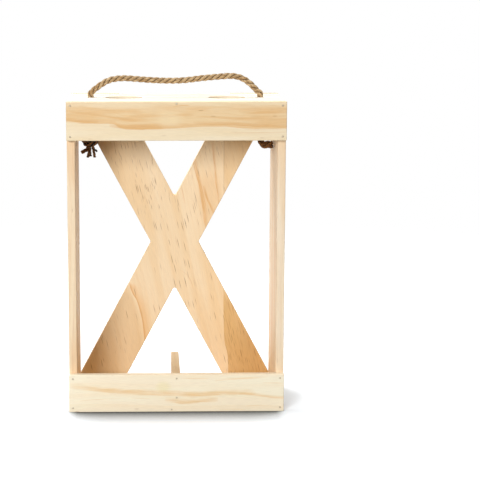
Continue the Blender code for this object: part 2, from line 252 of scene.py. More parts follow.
def contact_shadow(tree, place):
    """How dark the paper is close to the crate: along its front, and less past its ends."""
    open_sky = add_node(
        tree, "ShaderNodeAmbientOcclusion", {"Distance": contact_reach}, samples=16
    ).outputs["AO"]
    contact = add_node(tree, "ShaderNodeMapRange", [open_sky, 1.0, contact_darkest])
    split = add_node(tree, "ShaderNodeSeparateXYZ", [place]).outputs
    sideways = add_node(tree, "ShaderNodeMath", [split["X"]], operation="ABSOLUTE")
    behind = [split["Y"], front_face, front_face + board, 1.0, contact_aside]
    end = crate_high.x
    past_end = [sideways, end - board, end + board / 2, 1.0, contact_past_ends]
    in_front = add_node(tree, "ShaderNodeMapRange", behind)
    between_ends = add_node(tree, "ShaderNodeMapRange", past_end)
    share = add_node(tree, "ShaderNodeMath", [in_front, between_ends], operation="MULTIPLY")
    return add_node(tree, "ShaderNodeMath", [contact, share], operation="MULTIPLY")


def white_paper_floor():
    """Matt white seamless paper. It fades to nothing at its rim, where the white room shows."""
    paper = new_material("seamless_white_paper")
    tree = paper.node_tree
    place = add_node(tree, "ShaderNodeTexCoord").outputs["Object"]
    away = add_node(tree, "ShaderNodeVectorMath", [place], operation="LENGTH")
    fade = add_node(
        tree, "ShaderNodeMapRange", [away, floor_solid_radius, floor_radius], **eased
    )
    seen = seen_directly(tree)
    contact = contact_shadow(tree, place)
    overexposed = [paper_overexposure * channel for channel in linear(paper_white)]
    shaded = add_node(
        tree, "ShaderNodeMix", [contact, overexposed, (0, 0, 0, 1)], data_type="RGBA"
    )
    colour = add_node(
        tree, "ShaderNodeMix", [seen, linear(paper_as_light), shaded], data_type="RGBA"
    )
    matt = add_node(tree, "ShaderNodeBsdfDiffuse", {"Color": colour})
    clear = add_node(tree, "ShaderNodeBsdfTransparent")
    mixed = add_node(tree, "ShaderNodeMixShader", [fade, matt, clear])
    add_node(tree, "ShaderNodeOutputMaterial", {"Surface": mixed})
    return paper


floor_mesh.materials.append(white_paper_floor())
floor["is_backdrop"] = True
print("the floor is", floor_mesh.materials[0].name)

# %% [markdown]
# ## The rope's route
# The handle is one length of jute rope. It comes up through a hole at each end of the top panel, and a
# stopper knot under the panel holds it. Everything that the rope does follows one middle line, so that line
# comes first: up from the left knot's foot, over the top, and down to the cut end on the right. The arch is
# a list of given points. A smooth curve through them bends as rope does, where straight runs and arcs would
# look like wire.

# %% Route through the air
rope_diameter = 6 * mm
hole_x = 85.5 * mm
knot_middles = {-1: 271.5 * mm, 1: 277.5 * mm}
knot_half_height = 9.5 * mm
knot_foot_height = 8.0 * mm
handle_route = [
    (-0.0855, 0.0000, 0.3153),
    (-0.0842, 0.0000, 0.3177),
    (-0.0808, 0.0000, 0.3206),
    (-0.0766, 0.0000, 0.3237),
    (-0.0722, 0.0001, 0.3266),
    (-0.0672, 0.0002, 0.3290),
    (-0.0605, 0.0003, 0.3306),
    (-0.0510, 0.0005, 0.3312),
    (-0.0390, 0.0006, 0.3304),
    (-0.0285, 0.0006, 0.3296),
    (-0.0180, 0.0005, 0.3290),
    (-0.0070, 0.0003, 0.3287),
    (0.0045, 0.0001, 0.3289),
    (0.0150, -0.0002, 0.3298),
    (0.0255, -0.0004, 0.3311),
    (0.0390, -0.0006, 0.3324),
    (0.0530, -0.0006, 0.3334),
    (0.0605, -0.0005, 0.3330),
    (0.0668, -0.0003, 0.3312),
    (0.0722, -0.0002, 0.3280),
    (0.0772, -0.0001, 0.3239),
    (0.0818, 0.0000, 0.3190),
    (0.0845, 0.0000, 0.3169),
    (0.0855, 0.0000, 0.3153),
]
cut_end_route = [
    (0.0872, -0.0003, 0.2655),
    (0.0888, -0.0005, 0.2643),
    (0.0910, -0.0005, 0.2638),
    (0.0938, -0.0004, 0.2638),
    (0.0962, -0.0003, 0.2640),
    (0.0980, -0.0002, 0.2642),
]


def smooth_route(route, spacing):
    """Points about spacing apart on a smooth curve through the route's own points."""
    fine_steps = 12
    points = [Vector(p) for p in route]
    padded = [2 * points[0] - points[1], *points, 2 * points[-1] - points[-2]]
    fine = []
    for number in range(1, len(padded) - 2):
        before, start, end, after = padded[number - 1 : number + 3]
        for step in range(fine_steps):
            t = step / fine_steps
            bend = 2 * before - 5 * start + 4 * end - after
            lift = 3 * start - before - 3 * end + after
            fine.append(start + 0.5 * ((end - before) * t + bend * t**2 + lift * t**3))
    fine.append(points[-1])
    steps = [(second - first).length for first, second in zip(fine[:-1], fine[1:])]
    along = np.concatenate([[0.0], np.cumsum(steps)])
    wanted = np.linspace(0, along[-1], max(2, round(along[-1] / spacing) + 1))
    columns = [np.interp(wanted, along, [p[axis] for p in fine]) for axis in range(3)]
    return [Vector(p) for p in zip(*columns)], float(along[-1])


arch_length = smooth_route(handle_route, rope_diameter)[1]
print(f"the arch over the top panel is {arch_length / mm:.0f} mm long")

# %% [markdown]
# ## The stopper knot's route
# An overhand knot is easy to tie and hard to draw by hand. A known formula gives a loose one,
# and a small simulation pulls it tight: its ends are drawn apart, its points keep their
# distance along the rope, and stretches that come closer than the rope's diameter push each
# other away. Rope is soft, so inside the knot it is squeezed to 96% of its thickness.

# %% Tie the knot
knot_points = 60
knot_step = 0.3 * rope_diameter
squeezed = 0.96
loose_size = 0.45 * rope_diameter
pulls = 700
pull = 0.05 * rope_diameter
straightening = 0.05
pushes_each_pull = 3
push_share = 0.25
length_passes = 8


def overhand_line():
    """The middle line of an overhand knot, pulled tight along Z, from its top down."""
    t = np.linspace(-2.3, 2.3, knot_points)
    line = np.stack([t**3 - 3 * t, t**4 - 4 * t**2, (10 * t - t**5) / 2], axis=1)
    line *= loose_size
    first, second = np.triu_indices(knot_points, 2)
    least = np.minimum(rope_diameter, (second - first) * knot_step * 0.9)
    for _ in range(pulls):
        line[1:-1] += straightening * (line[:-2] + line[2:] - 2 * line[1:-1])
        line[0, 2] += pull
        line[-1, 2] -= pull
        push_apart(line, first, second, least)
        keep_lengths(line)
    lead = line[:, 2] > knot_half_height
    line[:, :2] -= line[lead, :2].mean(axis=0)
    return line


def push_apart(line, first, second, least):
    """Moves stretches of rope that lie closer than its diameter away from each other."""
    for _ in range(pushes_each_pull):
        between = line[second] - line[first]
        far = np.linalg.norm(between, axis=1)
        hit = far < least
        push = push_share * (least[hit] - far[hit]) / far[hit]
        np.add.at(line, first[hit], -push[:, None] * between[hit])
        np.add.at(line, second[hit], push[:, None] * between[hit])


def keep_lengths(line):
    """Gives each stretch between two points its own length again."""
    for _ in range(length_passes):
        for start in (0, 1):
            pairs = (len(line) - start) // 2
            one = line[start : start + 2 * pairs : 2]
            two = line[start + 1 : start + 1 + 2 * pairs : 2]
            between = two - one
            far = np.linalg.norm(between, axis=1, keepdims=True)
            move = (far - knot_step) / far * between / 2
            one += move
            two -= move
    line[:2, :2] /= 2
    line[-2:, :2] /= 2


knot_line = overhand_line()
knot_size = np.ptp(knot_line[knot_points // 4 : -knot_points // 4], axis=0) + rope_diameter
print(f"the pulled knot is about {knot_size[0] / mm:.0f} x {knot_size[1] / mm:.0f} mm across")

# %% [markdown]
# ## One line for the whole rope
# The real handle is a single rope, so its arch and its knots run into each other without a
# step. Each part could be swept alone and pushed against the next, but then their strands
# wouldn't meet. So all points are joined into one route, and one smooth curve is drawn
# through it. Each knot is turned until its bulges face as they do in the photograph.

# %% Join the whole route
rope_step = 0.5 * mm
hole_heights = (0.300, 0.308)
cut_end_drop = 2.2 * mm
arch_step = 3 * mm
knot_turns = {-1: math.radians(300), 1: math.radians(75)}


def knot_route(side):
    """One knot's points in its place under the top panel, from its top down."""
    place = Matrix.Translation((side * hole_x, 0, knot_middles[side]))
    place @= Matrix.Rotation(knot_turns[side], 4, "Z")
    return [place @ Vector(p) for p in knot_line if p[2] > -knot_foot_height]


left_knot = knot_route(-1)[::-1]
right_knot = knot_route(1)
before_arch = [(-hole_x, 0, z) for z in hole_heights]
after_arch = [(hole_x, 0, z) for z in reversed(hole_heights)]
cut_end = [right_knot[-1] - Vector((0, 0, cut_end_drop)), *cut_end_route]
arch = smooth_route(handle_route, arch_step)[0]
whole_route = [*left_knot, *before_arch, *arch, *after_arch, *right_knot, *cut_end]
rope_line, rope_length = smooth_route(whole_route, rope_step)
print(f"the rope is {rope_length / mm:.0f} mm long, from the left knot's foot to its cut end")


def run_nearest(place, start=0.0, end=1.0):
    """How far along the rope the point nearest to a place is, between two shares of it."""
    low, high = round(start * (len(rope_line) - 1)), round(end * (len(rope_line) - 1))
    near = min(range(low, high + 1), key=lambda n: (rope_line[n] - Vector(place)).length)
    return near * rope_length / (len(rope_line) - 1)


left_top_run = run_nearest(left_knot[-1], 0.0, 0.4)
right_top_run = run_nearest(right_knot[0], 0.6, 1.0)
right_foot_run = run_nearest(right_knot[-1], 0.6, 1.0)
print(f"its free stretch runs from {left_top_run / mm:.0f} to {right_top_run / mm:.0f} mm")

# %% [markdown]
# ## A laid rope from one line
# Rope is laid: yarns are twisted into strands one way, and three strands are twisted round
# each other the other way, so that the two twists hold each other. A Geometry Nodes tree can
# say exactly that. It takes the middle line, makes one copy for each strand, moves each copy
# out on a helix, and sweeps a lobed outline, one lobe for each yarn, along it while the
# outline turns back. Trimming comes after the twist is worked out, so that the knots and the
# free stretch, which are separate pieces, stay in step with each other.

# %% The rope's sizes
strand_share = 0.55
strand_streak_shift = 0.4
rope_sizes = {
    "Strands": ("NodeSocketInt", 3),
    "Strand diameter": ("NodeSocketFloat", rope_diameter * strand_share),
    "Ring radius": ("NodeSocketFloat", rope_diameter * (1 - strand_share) / 2),
    "Lay length": ("NodeSocketFloat", 19.5 * mm),
    "Yarns": ("NodeSocketInt", 7),
    "Yarn lay length": ("NodeSocketFloat", 15 * mm),
    "Yarn groove": ("NodeSocketFloat", 0.16),
    "From": ("NodeSocketFloat", 0.0),
    "To": ("NodeSocketFloat", 1.0),
    "Material": ("NodeSocketMaterial", None),
}


def new_geometry_tree(name, sizes):
    """An empty Geometry Nodes tree with named inputs."""
    tree = bpy.data.node_groups.new(name, "GeometryNodeTree")
    tree.interface.new_socket("Geometry", in_out="INPUT", socket_type="NodeSocketGeometry")
    tree.interface.new_socket("Geometry", in_out="OUTPUT", socket_type="NodeSocketGeometry")
    for label, (kind, value) in sizes.items():
        socket = tree.interface.new_socket(label, in_out="INPUT", socket_type=kind)
        if value is not None:
            socket.default_value = value
    return tree


strand_thickness = rope_diameter * strand_share / mm
yarns = rope_sizes["Yarns"][1]
print(f"a strand is {strand_thickness:.1f} mm thick, of {yarns} yarns")


# %% The laid rope tree
def twist_angle(tree, run, lay, share=None):
    """The angle in radians at a run along a lay length, plus a share of a whole turn."""
    turns = add_node(tree, "ShaderNodeMath", [run, lay], operation="DIVIDE")
    if share is not None:
        turns = add_node(tree, "ShaderNodeMath", [turns, share], operation="ADD")
    return add_node(tree, "ShaderNodeMath", [turns, 2 * math.pi], operation="MULTIPLY")


def yarn_outline(tree, given):
    """A strand's outline: a circle with one round lobe for each yarn."""
    corners = add_node(tree, "ShaderNodeMath", [given["Yarns"], 4.0], operation="MULTIPLY")
    radius = add_node(
        tree, "ShaderNodeMath", [given["Strand diameter"], 0.5], operation="MULTIPLY"
    )
    circle = add_node(
        tree,
        "GeometryNodeCurvePrimitiveCircle",
        {"Resolution": corners, "Radius": radius},
        mode="RADIUS",
    )
    around = add_node(tree, "GeometryNodeSplineParameter").outputs["Factor"]
    half_turns = add_node(tree, "ShaderNodeMath", [around, given["Yarns"]], operation="MULTIPLY")
    angle = add_node(tree, "ShaderNodeMath", [half_turns, math.pi], operation="MULTIPLY")
    wave = add_node(tree, "ShaderNodeMath", [angle], operation="SINE")
    lobe = add_node(tree, "ShaderNodeMath", [wave], operation="ABSOLUTE")
    groove = add_node(tree, "ShaderNodeMath", [1.0, given["Yarn groove"]], operation="SUBTRACT")
    scale = add_node(tree, "ShaderNodeMapRange", {"Value": lobe, "To Min": groove})
    place = add_node(tree, "GeometryNodeInputPosition")
    section = add_node(
        tree,
        "GeometryNodeStoreNamedAttribute",
        {"Geometry": circle, "Name": "section", "Value": place},
        data_type="FLOAT_VECTOR",
    )
    moved = add_node(tree, "ShaderNodeVectorMath", [place, scale], operation="SCALE")
    return add_node(tree, "GeometryNodeSetPosition", {"Geometry": section, "Position": moved})


def build_laid_rope():
    """The whole tree: store the route, copy it for each strand, twist, sweep and finish."""
    tree = new_geometry_tree("laid_rope", rope_sizes)
    given = add_node(tree, "NodeGroupInput").outputs
    line = add_node(tree, "GeometryNodeMeshToCurve", {"Mesh": given["Geometry"]})
    line = add_node(tree, "GeometryNodeSetCurveNormal", {"Curve": line}, mode="MINIMUM_TWIST")
    stored = {
        "run": (add_node(tree, "GeometryNodeSplineParameter").outputs["Length"], "FLOAT"),
        "centre": (add_node(tree, "GeometryNodeInputPosition"), "FLOAT_VECTOR"),
        "side": (add_node(tree, "GeometryNodeInputNormal").outputs["Normal"], "FLOAT_VECTOR"),
        "forward": (add_node(tree, "GeometryNodeInputTangent"), "FLOAT_VECTOR"),
    }
    for name, (value, kind) in stored.items():
        line = add_node(
            tree,
            "GeometryNodeStoreNamedAttribute",
            {"Geometry": line, "Name": name, "Value": value},
            data_type=kind,
        )
    line = add_node(
        tree,
        "GeometryNodeTrimCurve",
        {"Curve": line, "Start": given["From"], "End": given["To"]},
        mode="LENGTH",
    )
    strands = add_node(
        tree,
        "GeometryNodeDuplicateElements",
        {"Geometry": line, "Amount": given["Strands"]},
        domain="SPLINE",
    )
    copy_number = strands.outputs["Duplicate Index"]
    share = add_node(tree, "ShaderNodeMath", [copy_number, given["Strands"]], operation="DIVIDE")
    run, thickness = [
        add_node(tree, "GeometryNodeInputNamedAttribute", {"Name": name})
        for name in ("run", "thickness")
    ]
    helix = helix_offset(tree, twist_angle(tree, run, given["Lay length"], share))
    radius = add_node(
        tree, "ShaderNodeMath", [given["Ring radius"], thickness], operation="MULTIPLY"
    )
    offset = add_node(tree, "ShaderNodeVectorMath", [helix, radius], operation="SCALE")
    moved = add_node(tree, "GeometryNodeSetPosition", {"Geometry": strands, "Offset": offset})
    moved = add_node(tree, "GeometryNodeSetCurveNormal", {"Curve": moved}, mode="MINIMUM_TWIST")
    back = twist_angle(tree, run, given["Yarn lay length"])
    moved = add_node(tree, "GeometryNodeSetCurveTilt", {"Curve": moved, "Tilt": back})
    moved = add_node(
        tree,
        "GeometryNodeStoreNamedAttribute",
        {"Geometry": moved, "Name": "strand", "Value": share},
    )
    outline = yarn_outline(tree, given)
    swept = add_node(
        tree,
        "GeometryNodeCurveToMesh",
        {"Curve": moved, "Profile Curve": outline, "Scale": thickness, "Fill Caps": True},
    )
    finish_rope(tree, given, swept)
    return tree


def helix_offset(tree, turn):
    """The direction from the rope's middle line to a strand's, from the angle of turn."""
    side, forward = [
        add_node(tree, "GeometryNodeInputNamedAttribute", {"Name": name}, data_type="FLOAT_VECTOR")
        for name in ("side", "forward")
    ]
    across = add_node(tree, "ShaderNodeVectorMath", [side, forward], operation="CROSS_PRODUCT")
    cosine = add_node(tree, "ShaderNodeMath", [turn], operation="COSINE")
    sine = add_node(tree, "ShaderNodeMath", [turn], operation="SINE")
    one = add_node(tree, "ShaderNodeVectorMath", [side, cosine], operation="SCALE")
    two = add_node(tree, "ShaderNodeVectorMath", [across, sine], operation="SCALE")
    return add_node(tree, "ShaderNodeVectorMath", [one, two], operation="ADD")


def finish_rope(tree, given, swept):
    """Stores what the jute material reads, smooths the yarns and sets the material."""
    section, centre = [
        add_node(tree, "GeometryNodeInputNamedAttribute", {"Name": name}, data_type="FLOAT_VECTOR")
        for name in ("section", "centre")
    ]
    strand, run = [
        add_node(tree, "GeometryNodeInputNamedAttribute", {"Name": name})
        for name in ("strand", "run")
    ]
    split = add_node(tree, "ShaderNodeSeparateXYZ", [section]).outputs
    apart = add_node(
        tree, "ShaderNodeMath", [strand, strand_streak_shift, run], operation="MULTIPLY_ADD"
    )
    lie = add_node(tree, "ShaderNodeCombineXYZ", [split["X"], split["Y"], apart])
    place = add_node(tree, "GeometryNodeInputPosition")
    away = add_node(tree, "ShaderNodeVectorMath", [place, centre], operation="DISTANCE")
    outer = add_node(
        tree,
        "ShaderNodeMath",
        [given["Strand diameter"], 0.5, given["Ring radius"]],
        operation="MULTIPLY_ADD",
    )
    outward = add_node(tree, "ShaderNodeMath", [away, outer], operation="DIVIDE")
    done = swept
    for name, value, kind in (("lie", lie, "FLOAT_VECTOR"), ("outward", outward, "FLOAT")):
        done = add_node(
            tree,
            "GeometryNodeStoreNamedAttribute",
            {"Geometry": done, "Name": name, "Value": value},
            data_type=kind,
        )
    done = add_node(tree, "GeometryNodeSetShadeSmooth", {"Geometry": done}, domain="FACE")
    done = add_node(tree, "GeometryNodeRealizeInstances", {"Geometry": done})
    done = add_node(
        tree, "GeometryNodeSetMaterial", {"Geometry": done, "Material": given["Material"]}
    )
    add_node(tree, "NodeGroupOutput", {"Geometry": done})


laid_rope = build_laid_rope()
print(f"the laid rope tree has {len(laid_rope.nodes)} nodes")

# %% [markdown]
# ## Jute
# Jute is a golden-brown plant fibre, spun dry and never glazed. To the eye that means no
# gloss at all, tiny streaks along each yarn, and deep brown lines where two strands meet and
# hold dust and shadow. The tree stored two things for this: where a point lies on its yarn,
# for the streaks, and how far out it stands from the rope's middle, for the lines. Colours
# are laid over each other in turn, by a value that is eased or scaled first.

# %% Tools for materials
def shade_with(tree, **inputs):
    """The Principled shader and the output that it goes to."""
    named = {label.replace("_", " "): value for label, value in inputs.items()}
    shader = add_node(tree, "ShaderNodeBsdfPrincipled", named)
    add_node(tree, "ShaderNodeOutputMaterial", {"Surface": shader})
    return shader


def eased_blend(tree, value, under, over):
    """A colour laid over another where a value, eased between two limits, is high."""
    share = add_node(tree, "ShaderNodeMapRange", value, **eased)
    return add_node(tree, "ShaderNodeMix", [share, under, linear(over)], data_type="RGBA")


def scaled_blend(tree, share, amount, under, over):
    """A colour laid over another by a share that is scaled down first."""
    scaled = add_node(tree, "ShaderNodeMath", [share, amount], operation="MULTIPLY")
    return add_node(tree, "ShaderNodeMix", [scaled, under, linear(over)], data_type="RGBA")


def grain_noise(tree, place, along, across, detail=2.0):
    """Noise whose blotches measure so many millimetres along X and across it."""
    scaled = add_node(
        tree,
        "ShaderNodeMapping",
        {"Vector": place, "Scale": (1 / along, 1 / across, 1 / across)},
    )
    return add_node(
        tree, "ShaderNodeTexNoise", {"Vector": scaled, "Scale": 1.0, "Detail": detail}
    )


print("blends and noise for the materials are defined")


# %% The jute materials
def spun_jute(name, dust_and_shade_tint, groove):
    """Spun jute, with its colours multiplied by a tint for dust and painted shade, and the colour of its
    grooves.
    """
    material = new_material(name)
    tree = material.node_tree
    lie = add_node(tree, "ShaderNodeAttribute", attribute_name="lie").outputs["Vector"]
    outward = add_node(tree, "ShaderNodeAttribute", attribute_name="outward").outputs["Fac"]
    turned = add_node(
        tree,
        "ShaderNodeMapping",
        {"Vector": lie, "Rotation": (0, math.pi / 2, 0), "Scale": (1 / mm,) * 3},
    )
    streaks = grain_noise(tree, turned, 5.0, 0.28, 3.0)
    tufts = grain_noise(tree, turned, 9.0, 1.6)
    stretches = grain_noise(tree, turned, 22.0, 30.0)
    colour = eased_blend(tree, [tufts, 0.38, 0.62], linear("8e6a3c"), "bfa37a")
    colour = eased_blend(tree, [streaks, 0.42, 0.74, 0.0, 0.7], colour, "dfcaa6")
    colour = eased_blend(tree, [stretches, 0.45, 0.65, 0.0, 0.35], colour, "ad8654")
    colour = eased_blend(tree, [outward, 0.67, 0.97, 1.0, 0.0], colour, groove)
    # The tint darkens all the jute: dust, and for the pieces under the panel a painted shade.
    colour = add_node(
        tree,
        "ShaderNodeMix",
        [1.0, colour, linear(dust_and_shade_tint)],
        data_type="RGBA",
        blend_type="MULTIPLY",
    )
    bump = add_node(
        tree, "ShaderNodeBump", {"Strength": 0.55, "Distance": 0.12 * mm, "Height": streaks}
    )
    rough = add_node(tree, "ShaderNodeMapRange", [streaks, 0.3, 0.7, 0.82, 0.96], **eased)
    shade_with(tree, Base_Color=colour, Roughness=rough, Normal=bump)
    return material


def loose_jute_fibre():
    """Single jute fibres, which are thinner and so look paler than a yarn of them."""
    material = new_material("loose_jute_fibre")
    tree = material.node_tree
    place = add_node(tree, "ShaderNodeTexCoord").outputs["Object"]
    patches = add_node(
        tree, "ShaderNodeTexNoise", {"Vector": place, "Scale": 1 / (3 * mm), "Detail": 1.0}
    )
    colour = eased_blend(tree, [patches, 0.4, 0.6], linear("b38a56"), "ecd6ae")
    bump = add_node(
        tree, "ShaderNodeBump", {"Strength": 0.2, "Distance": 0.02 * mm, "Height": patches}
    )
    rough = add_node(tree, "ShaderNodeMapRange", [patches, 0.3, 0.7, 0.7, 0.9], **eased)
    shade_with(tree, Base_Color=colour, Roughness=rough, Normal=bump)
    return material


jute = spun_jute("spun_jute", "ffffff", "452a0e")
# Pulled tight, the yarns close up and hold more dust. The tint and the darker grooves also paint the shade
# under the panel. So the knots, the cut end and the loose strands look darker and browner.
dusty_shaded_jute = spun_jute("spun_jute_dust_and_painted_shade", "a8845a", "241305")
fibre = loose_jute_fibre()
print("materials:", jute.name, dusty_shaded_jute.name, fibre.name)

# %% [markdown]
# ## The rope's pieces
# The free stretch crosses a joint: it stays with the knots below the top panel and turns with
# the handle above it, so it is one piece that bends there. The knots, the cut end and the
# loose strands only ever slide, so they ride on one body. Each piece is swept by the same
# tree with other sizes, and is then turned into a plain mesh, because a finished piece
# keeps no Geometry Nodes.

# %% Sweep the rope, the knots and the cut end
def set_input(modifier, label, value):
    """Sets a tree's named input on a modifier, through the socket's identifier."""
    sockets = modifier.node_group.interface.items_tree
    socket = next(s for s in sockets if s.in_out == "INPUT" and s.name == label)
    modifier[socket.identifier] = value


def bake(name, start, tree, **sizes):
    """A new object whose plain mesh is what a Geometry Nodes tree makes of a starting mesh."""
    item = bpy.data.objects.new(name, start)
    bpy.context.scene.collection.objects.link(item)
    nodes_modifier = item.modifiers.new(tree.name, "NODES")
    nodes_modifier.node_group = tree
    for label, value in sizes.items():
        set_input(nodes_modifier, label.replace("_", " "), value)
    graph = bpy.context.evaluated_depsgraph_get()
    mesh = bpy.data.meshes.new_from_object(item.evaluated_get(graph))
    item.modifiers.clear()
    item.data = mesh
    bpy.data.meshes.remove(start)
    mesh.name = name
    for label in [a.name for a in mesh.attributes if a.name in scratch_attributes]:
        mesh.attributes.remove(mesh.attributes[label])
    print(f"{name}: {sum(len(p.vertices) - 2 for p in mesh.polygons)} triangles")
    return item


def route_mesh(name, lines):
    """A mesh of edges along some lines, each a list of points and of the thickness there."""
    points, edges, thickness = [], [], []
    for line, thick in lines:
        edges += [(len(points) + n, len(points) + n + 1) for n in range(len(line) - 1)]
        points += [tuple(point) for point in line]
        thickness += thick
    mesh = bpy.data.meshes.new(name)
    mesh.from_pydata(points, edges, [])
    mesh.attributes.new("thickness", "FLOAT", "POINT").data.foreach_set("value", thickness)
    return mesh


fullness = 1.06
untwisted = 1.35


def thickness_at(run):
    """The rope's thickness along its run: full in the air, squeezed in the knots."""
    change = 8 * mm
    from_knot = min(run - left_top_run, right_top_run - run)
    share = min(1.0, max(0.0, from_knot / change))
    share = share * share * (3 - 2 * share)
    if run > right_foot_run:
        return squeezed + (untwisted - squeezed) * min(1.0, (run - right_foot_run) / change)
    return squeezed + (fullness - squeezed) * share


scratch_attributes = ("run", "centre", "side", "forward", "thickness", "section", "strand")
runs = np.linspace(0, rope_length, len(rope_line))
whole_rope = [(rope_line, [thickness_at(run) for run in runs])]
rope_end_run = rope_length + 1 * mm
stretches = {
    "rope": (left_top_run, right_top_run),
    "rope_knot_left": (0.0, left_top_run),
    "rope_knot_right": (right_top_run, right_foot_run),
    "rope_cut_end": (right_foot_run, rope_end_run),
}
open_lay = {
    "Strand diameter": rope_diameter / (1 + 2 / math.sqrt(3)),
    "Ring radius": rope_diameter / (2 + math.sqrt(3)),
}
rope_pieces = {}
for piece, (low, high) in stretches.items():
    start = route_mesh(piece + "_line", whole_rope)
    lay = {"Material": jute} if piece == "rope" else open_lay | {"Material": dusty_shaded_jute}
    rope_pieces[piece] = bake(piece, start, laid_rope, From=low, To=high, **lay)

# %% [markdown]
# ## The frayed end
# Under the left knot the rope has come apart. Its strands spread out, each still a bundle of
# twisted yarns, so the same tree makes them at a smaller size. One points up to the side,
# and four hang down.

# %% Loose strands
loose_diameter = 3.0 * mm
loose_ring = 2.2 * mm
hidden_start = 1.0 * mm
loose_step = 0.4 * mm
loose_routes = [
    (
        180,
        1.4,
        [(-0.0893, -0.0009, 0.2594), (-0.0925, -0.0005, 0.2578), (-0.0950, -0.0003, 0.2560)],
    ),
    (
        252,
        1.0,
        [(-0.0872, -0.0049, 0.2578), (-0.0882, -0.0055, 0.2548), (-0.0888, -0.0057, 0.2518)],
    ),
    (
        108,
        1.0,
        [(-0.0868, 0.0021, 0.2578), (-0.0867, 0.0031, 0.2548), (-0.0862, 0.0035, 0.2520)],
    ),
    (
        324,
        1.0,
        [(-0.0828, -0.0041, 0.2578), (-0.0823, -0.0049, 0.2548), (-0.0818, -0.0053, 0.2518)],
    ),
    (
        36,
        0.75,
        [(-0.0822, 0.0013, 0.2592), (-0.0808, 0.0019, 0.2581), (-0.0797, 0.0023, 0.2568)],
    ),
]
knot_foot = left_knot[0]
lines = []
for angle, thick, lower in loose_routes:
    around = math.radians(angle)
    ring = Vector((math.cos(around), math.sin(around), 0)) * loose_ring
    top = knot_foot + ring
    start = top + Vector((0, 0, hidden_start))
    line, _ = smooth_route([start, top, *lower], loose_step)
    lines.append((line, [thick] * len(line)))
loose_strands = bake(
    "loose_strands",
    route_mesh("loose_lines", lines),
    laid_rope,
    Strand_diameter=loose_diameter * strand_share,
    Ring_radius=loose_diameter * (1 - strand_share) / 2,
    Lay_length=11 * mm,
    Yarns=3,
    Yarn_lay_length=8 * mm,
    Yarn_groove=0.25,
    From=0.0,
    To=1.0,
    Material=dusty_shaded_jute,
)

# %% [markdown]
# ## Stray fibres
# Jute is a coarse plant fibre, and ends of it stand off the rope everywhere. They are what
# tells the eye that it is rope and not a plastic moulding. A tree scatters bent, tapered
# hairs on the rope's surface. A real fibre is about 0.06 mm thick, and these are a little
# thicker so that they show in a small picture.

# %% Scatter the fibres
fibre_sizes = {
    "Fibres per square metre": ("NodeSocketFloat", 160000.0),
    "Longest": ("NodeSocketFloat", 2.2 * mm),
    "Seed": ("NodeSocketInt", 1),
    "Material": ("NodeSocketMaterial", None),
}


def bent_hair(tree):
    """One hair of unit length that leans over to its side and tapers to its tip."""
    line = add_node(
        tree,
        "GeometryNodeCurveQuadraticBezier",
        {"Resolution": 4, "Start": (0, 0, -0.1), "Middle": (0, 0, 0.5), "End": (0.55, 0, 0.8)},
    )
    outline = add_node(
        tree, "GeometryNodeCurvePrimitiveCircle", {"Resolution": 3, "Radius": 0.022}, mode="RADIUS"
    )
    along = add_node(tree, "GeometryNodeSplineParameter").outputs["Factor"]
    taper = add_node(tree, "ShaderNodeMapRange", {"Value": along, "To Min": 1.0, "To Max": 0.3})
    return add_node(
        tree,
        "GeometryNodeCurveToMesh",
        {"Curve": line, "Profile Curve": outline, "Scale": taper, "Fill Caps": True},
    )


def build_stray_fibres():
    """The tree: scatter points on the rope, turn and size a bent hair on each, and finish."""
    tree = new_geometry_tree("stray_fibres", fibre_sizes)
    given = add_node(tree, "NodeGroupInput").outputs
    seed = given["Seed"]
    spots = add_node(
        tree,
        "GeometryNodeDistributePointsOnFaces",
        {"Mesh": given["Geometry"], "Density": given["Fibres per square metre"], "Seed": seed},
    ).outputs
    lean = add_node(
        tree,
        "FunctionNodeRandomValue",
        {"Min": (-0.9, -0.9, -0.9), "Max": (0.9, 0.9, 0.9), "Seed": seed},
        data_type="FLOAT_VECTOR",
    )
    towards = add_node(tree, "ShaderNodeVectorMath", [spots["Normal"], lean], operation="ADD")
    upright = add_node(tree, "FunctionNodeAlignRotationToVector", {"Vector": towards}, axis="Z")
    angle = add_node(
        tree, "FunctionNodeRandomValue", {"Min": 0.0, "Max": 2 * math.pi, "Seed": seed}
    )
    turned = add_node(
        tree, "FunctionNodeAxisAngleToRotation", {"Axis": towards, "Angle": angle}
    )
    turned = add_node(
        tree, "FunctionNodeRotateRotation", {"Rotation": upright, "Rotate By": turned}
    )
    length = add_node(tree, "FunctionNodeRandomValue", {"Min": 0.35, "Max": 1.0, "Seed": seed})
    scale = add_node(tree, "ShaderNodeMath", [length, given["Longest"]], operation="MULTIPLY")
    hair = bent_hair(tree)
    hairs = add_node(
        tree,
        "GeometryNodeInstanceOnPoints",
        {"Points": spots["Points"], "Instance": hair, "Rotation": turned, "Scale": scale},
    )
    done = add_node(tree, "GeometryNodeRealizeInstances", {"Geometry": hairs})
    done = add_node(tree, "GeometryNodeSetShadeSmooth", {"Geometry": done}, domain="FACE")
    done = add_node(
        tree, "GeometryNodeSetMaterial", {"Geometry": done, "Material": given["Material"]}
    )
    add_node(tree, "NodeGroupOutput", {"Geometry": done})
    return tree


stray_fibres = build_stray_fibres()
rope_fibres = bake("rope_fibres", rope_pieces["rope"].data.copy(), stray_fibres, Material=fibre)

# %% [markdown]
# ## Fibres on the knots
# The pulled knots and the frayed end are fuzzier than the free rope. The fibre tree could
# run on each piece in turn, but on one mesh joined from all of them it runs once, and no
# piece needs its own seed. The highest faces are left bare, because fibres there would be
# pushed into the panel when the rope is lifted.

# %% Join the meshes that the knots' fibres grow on
def joined_copy(name, items, ceiling):
    """One mesh from the faces of several pieces that lie below a ceiling."""
    shape = bmesh.new()
    for item in items:
        shape.from_mesh(item.data)
    high = [face for face in shape.faces if face.calc_center_median().z > ceiling]
    bmesh.ops.delete(shape, geom=high, context="FACES")
    mesh = bpy.data.meshes.new(name)
    shape.to_mesh(mesh)
    shape.free()
    return mesh


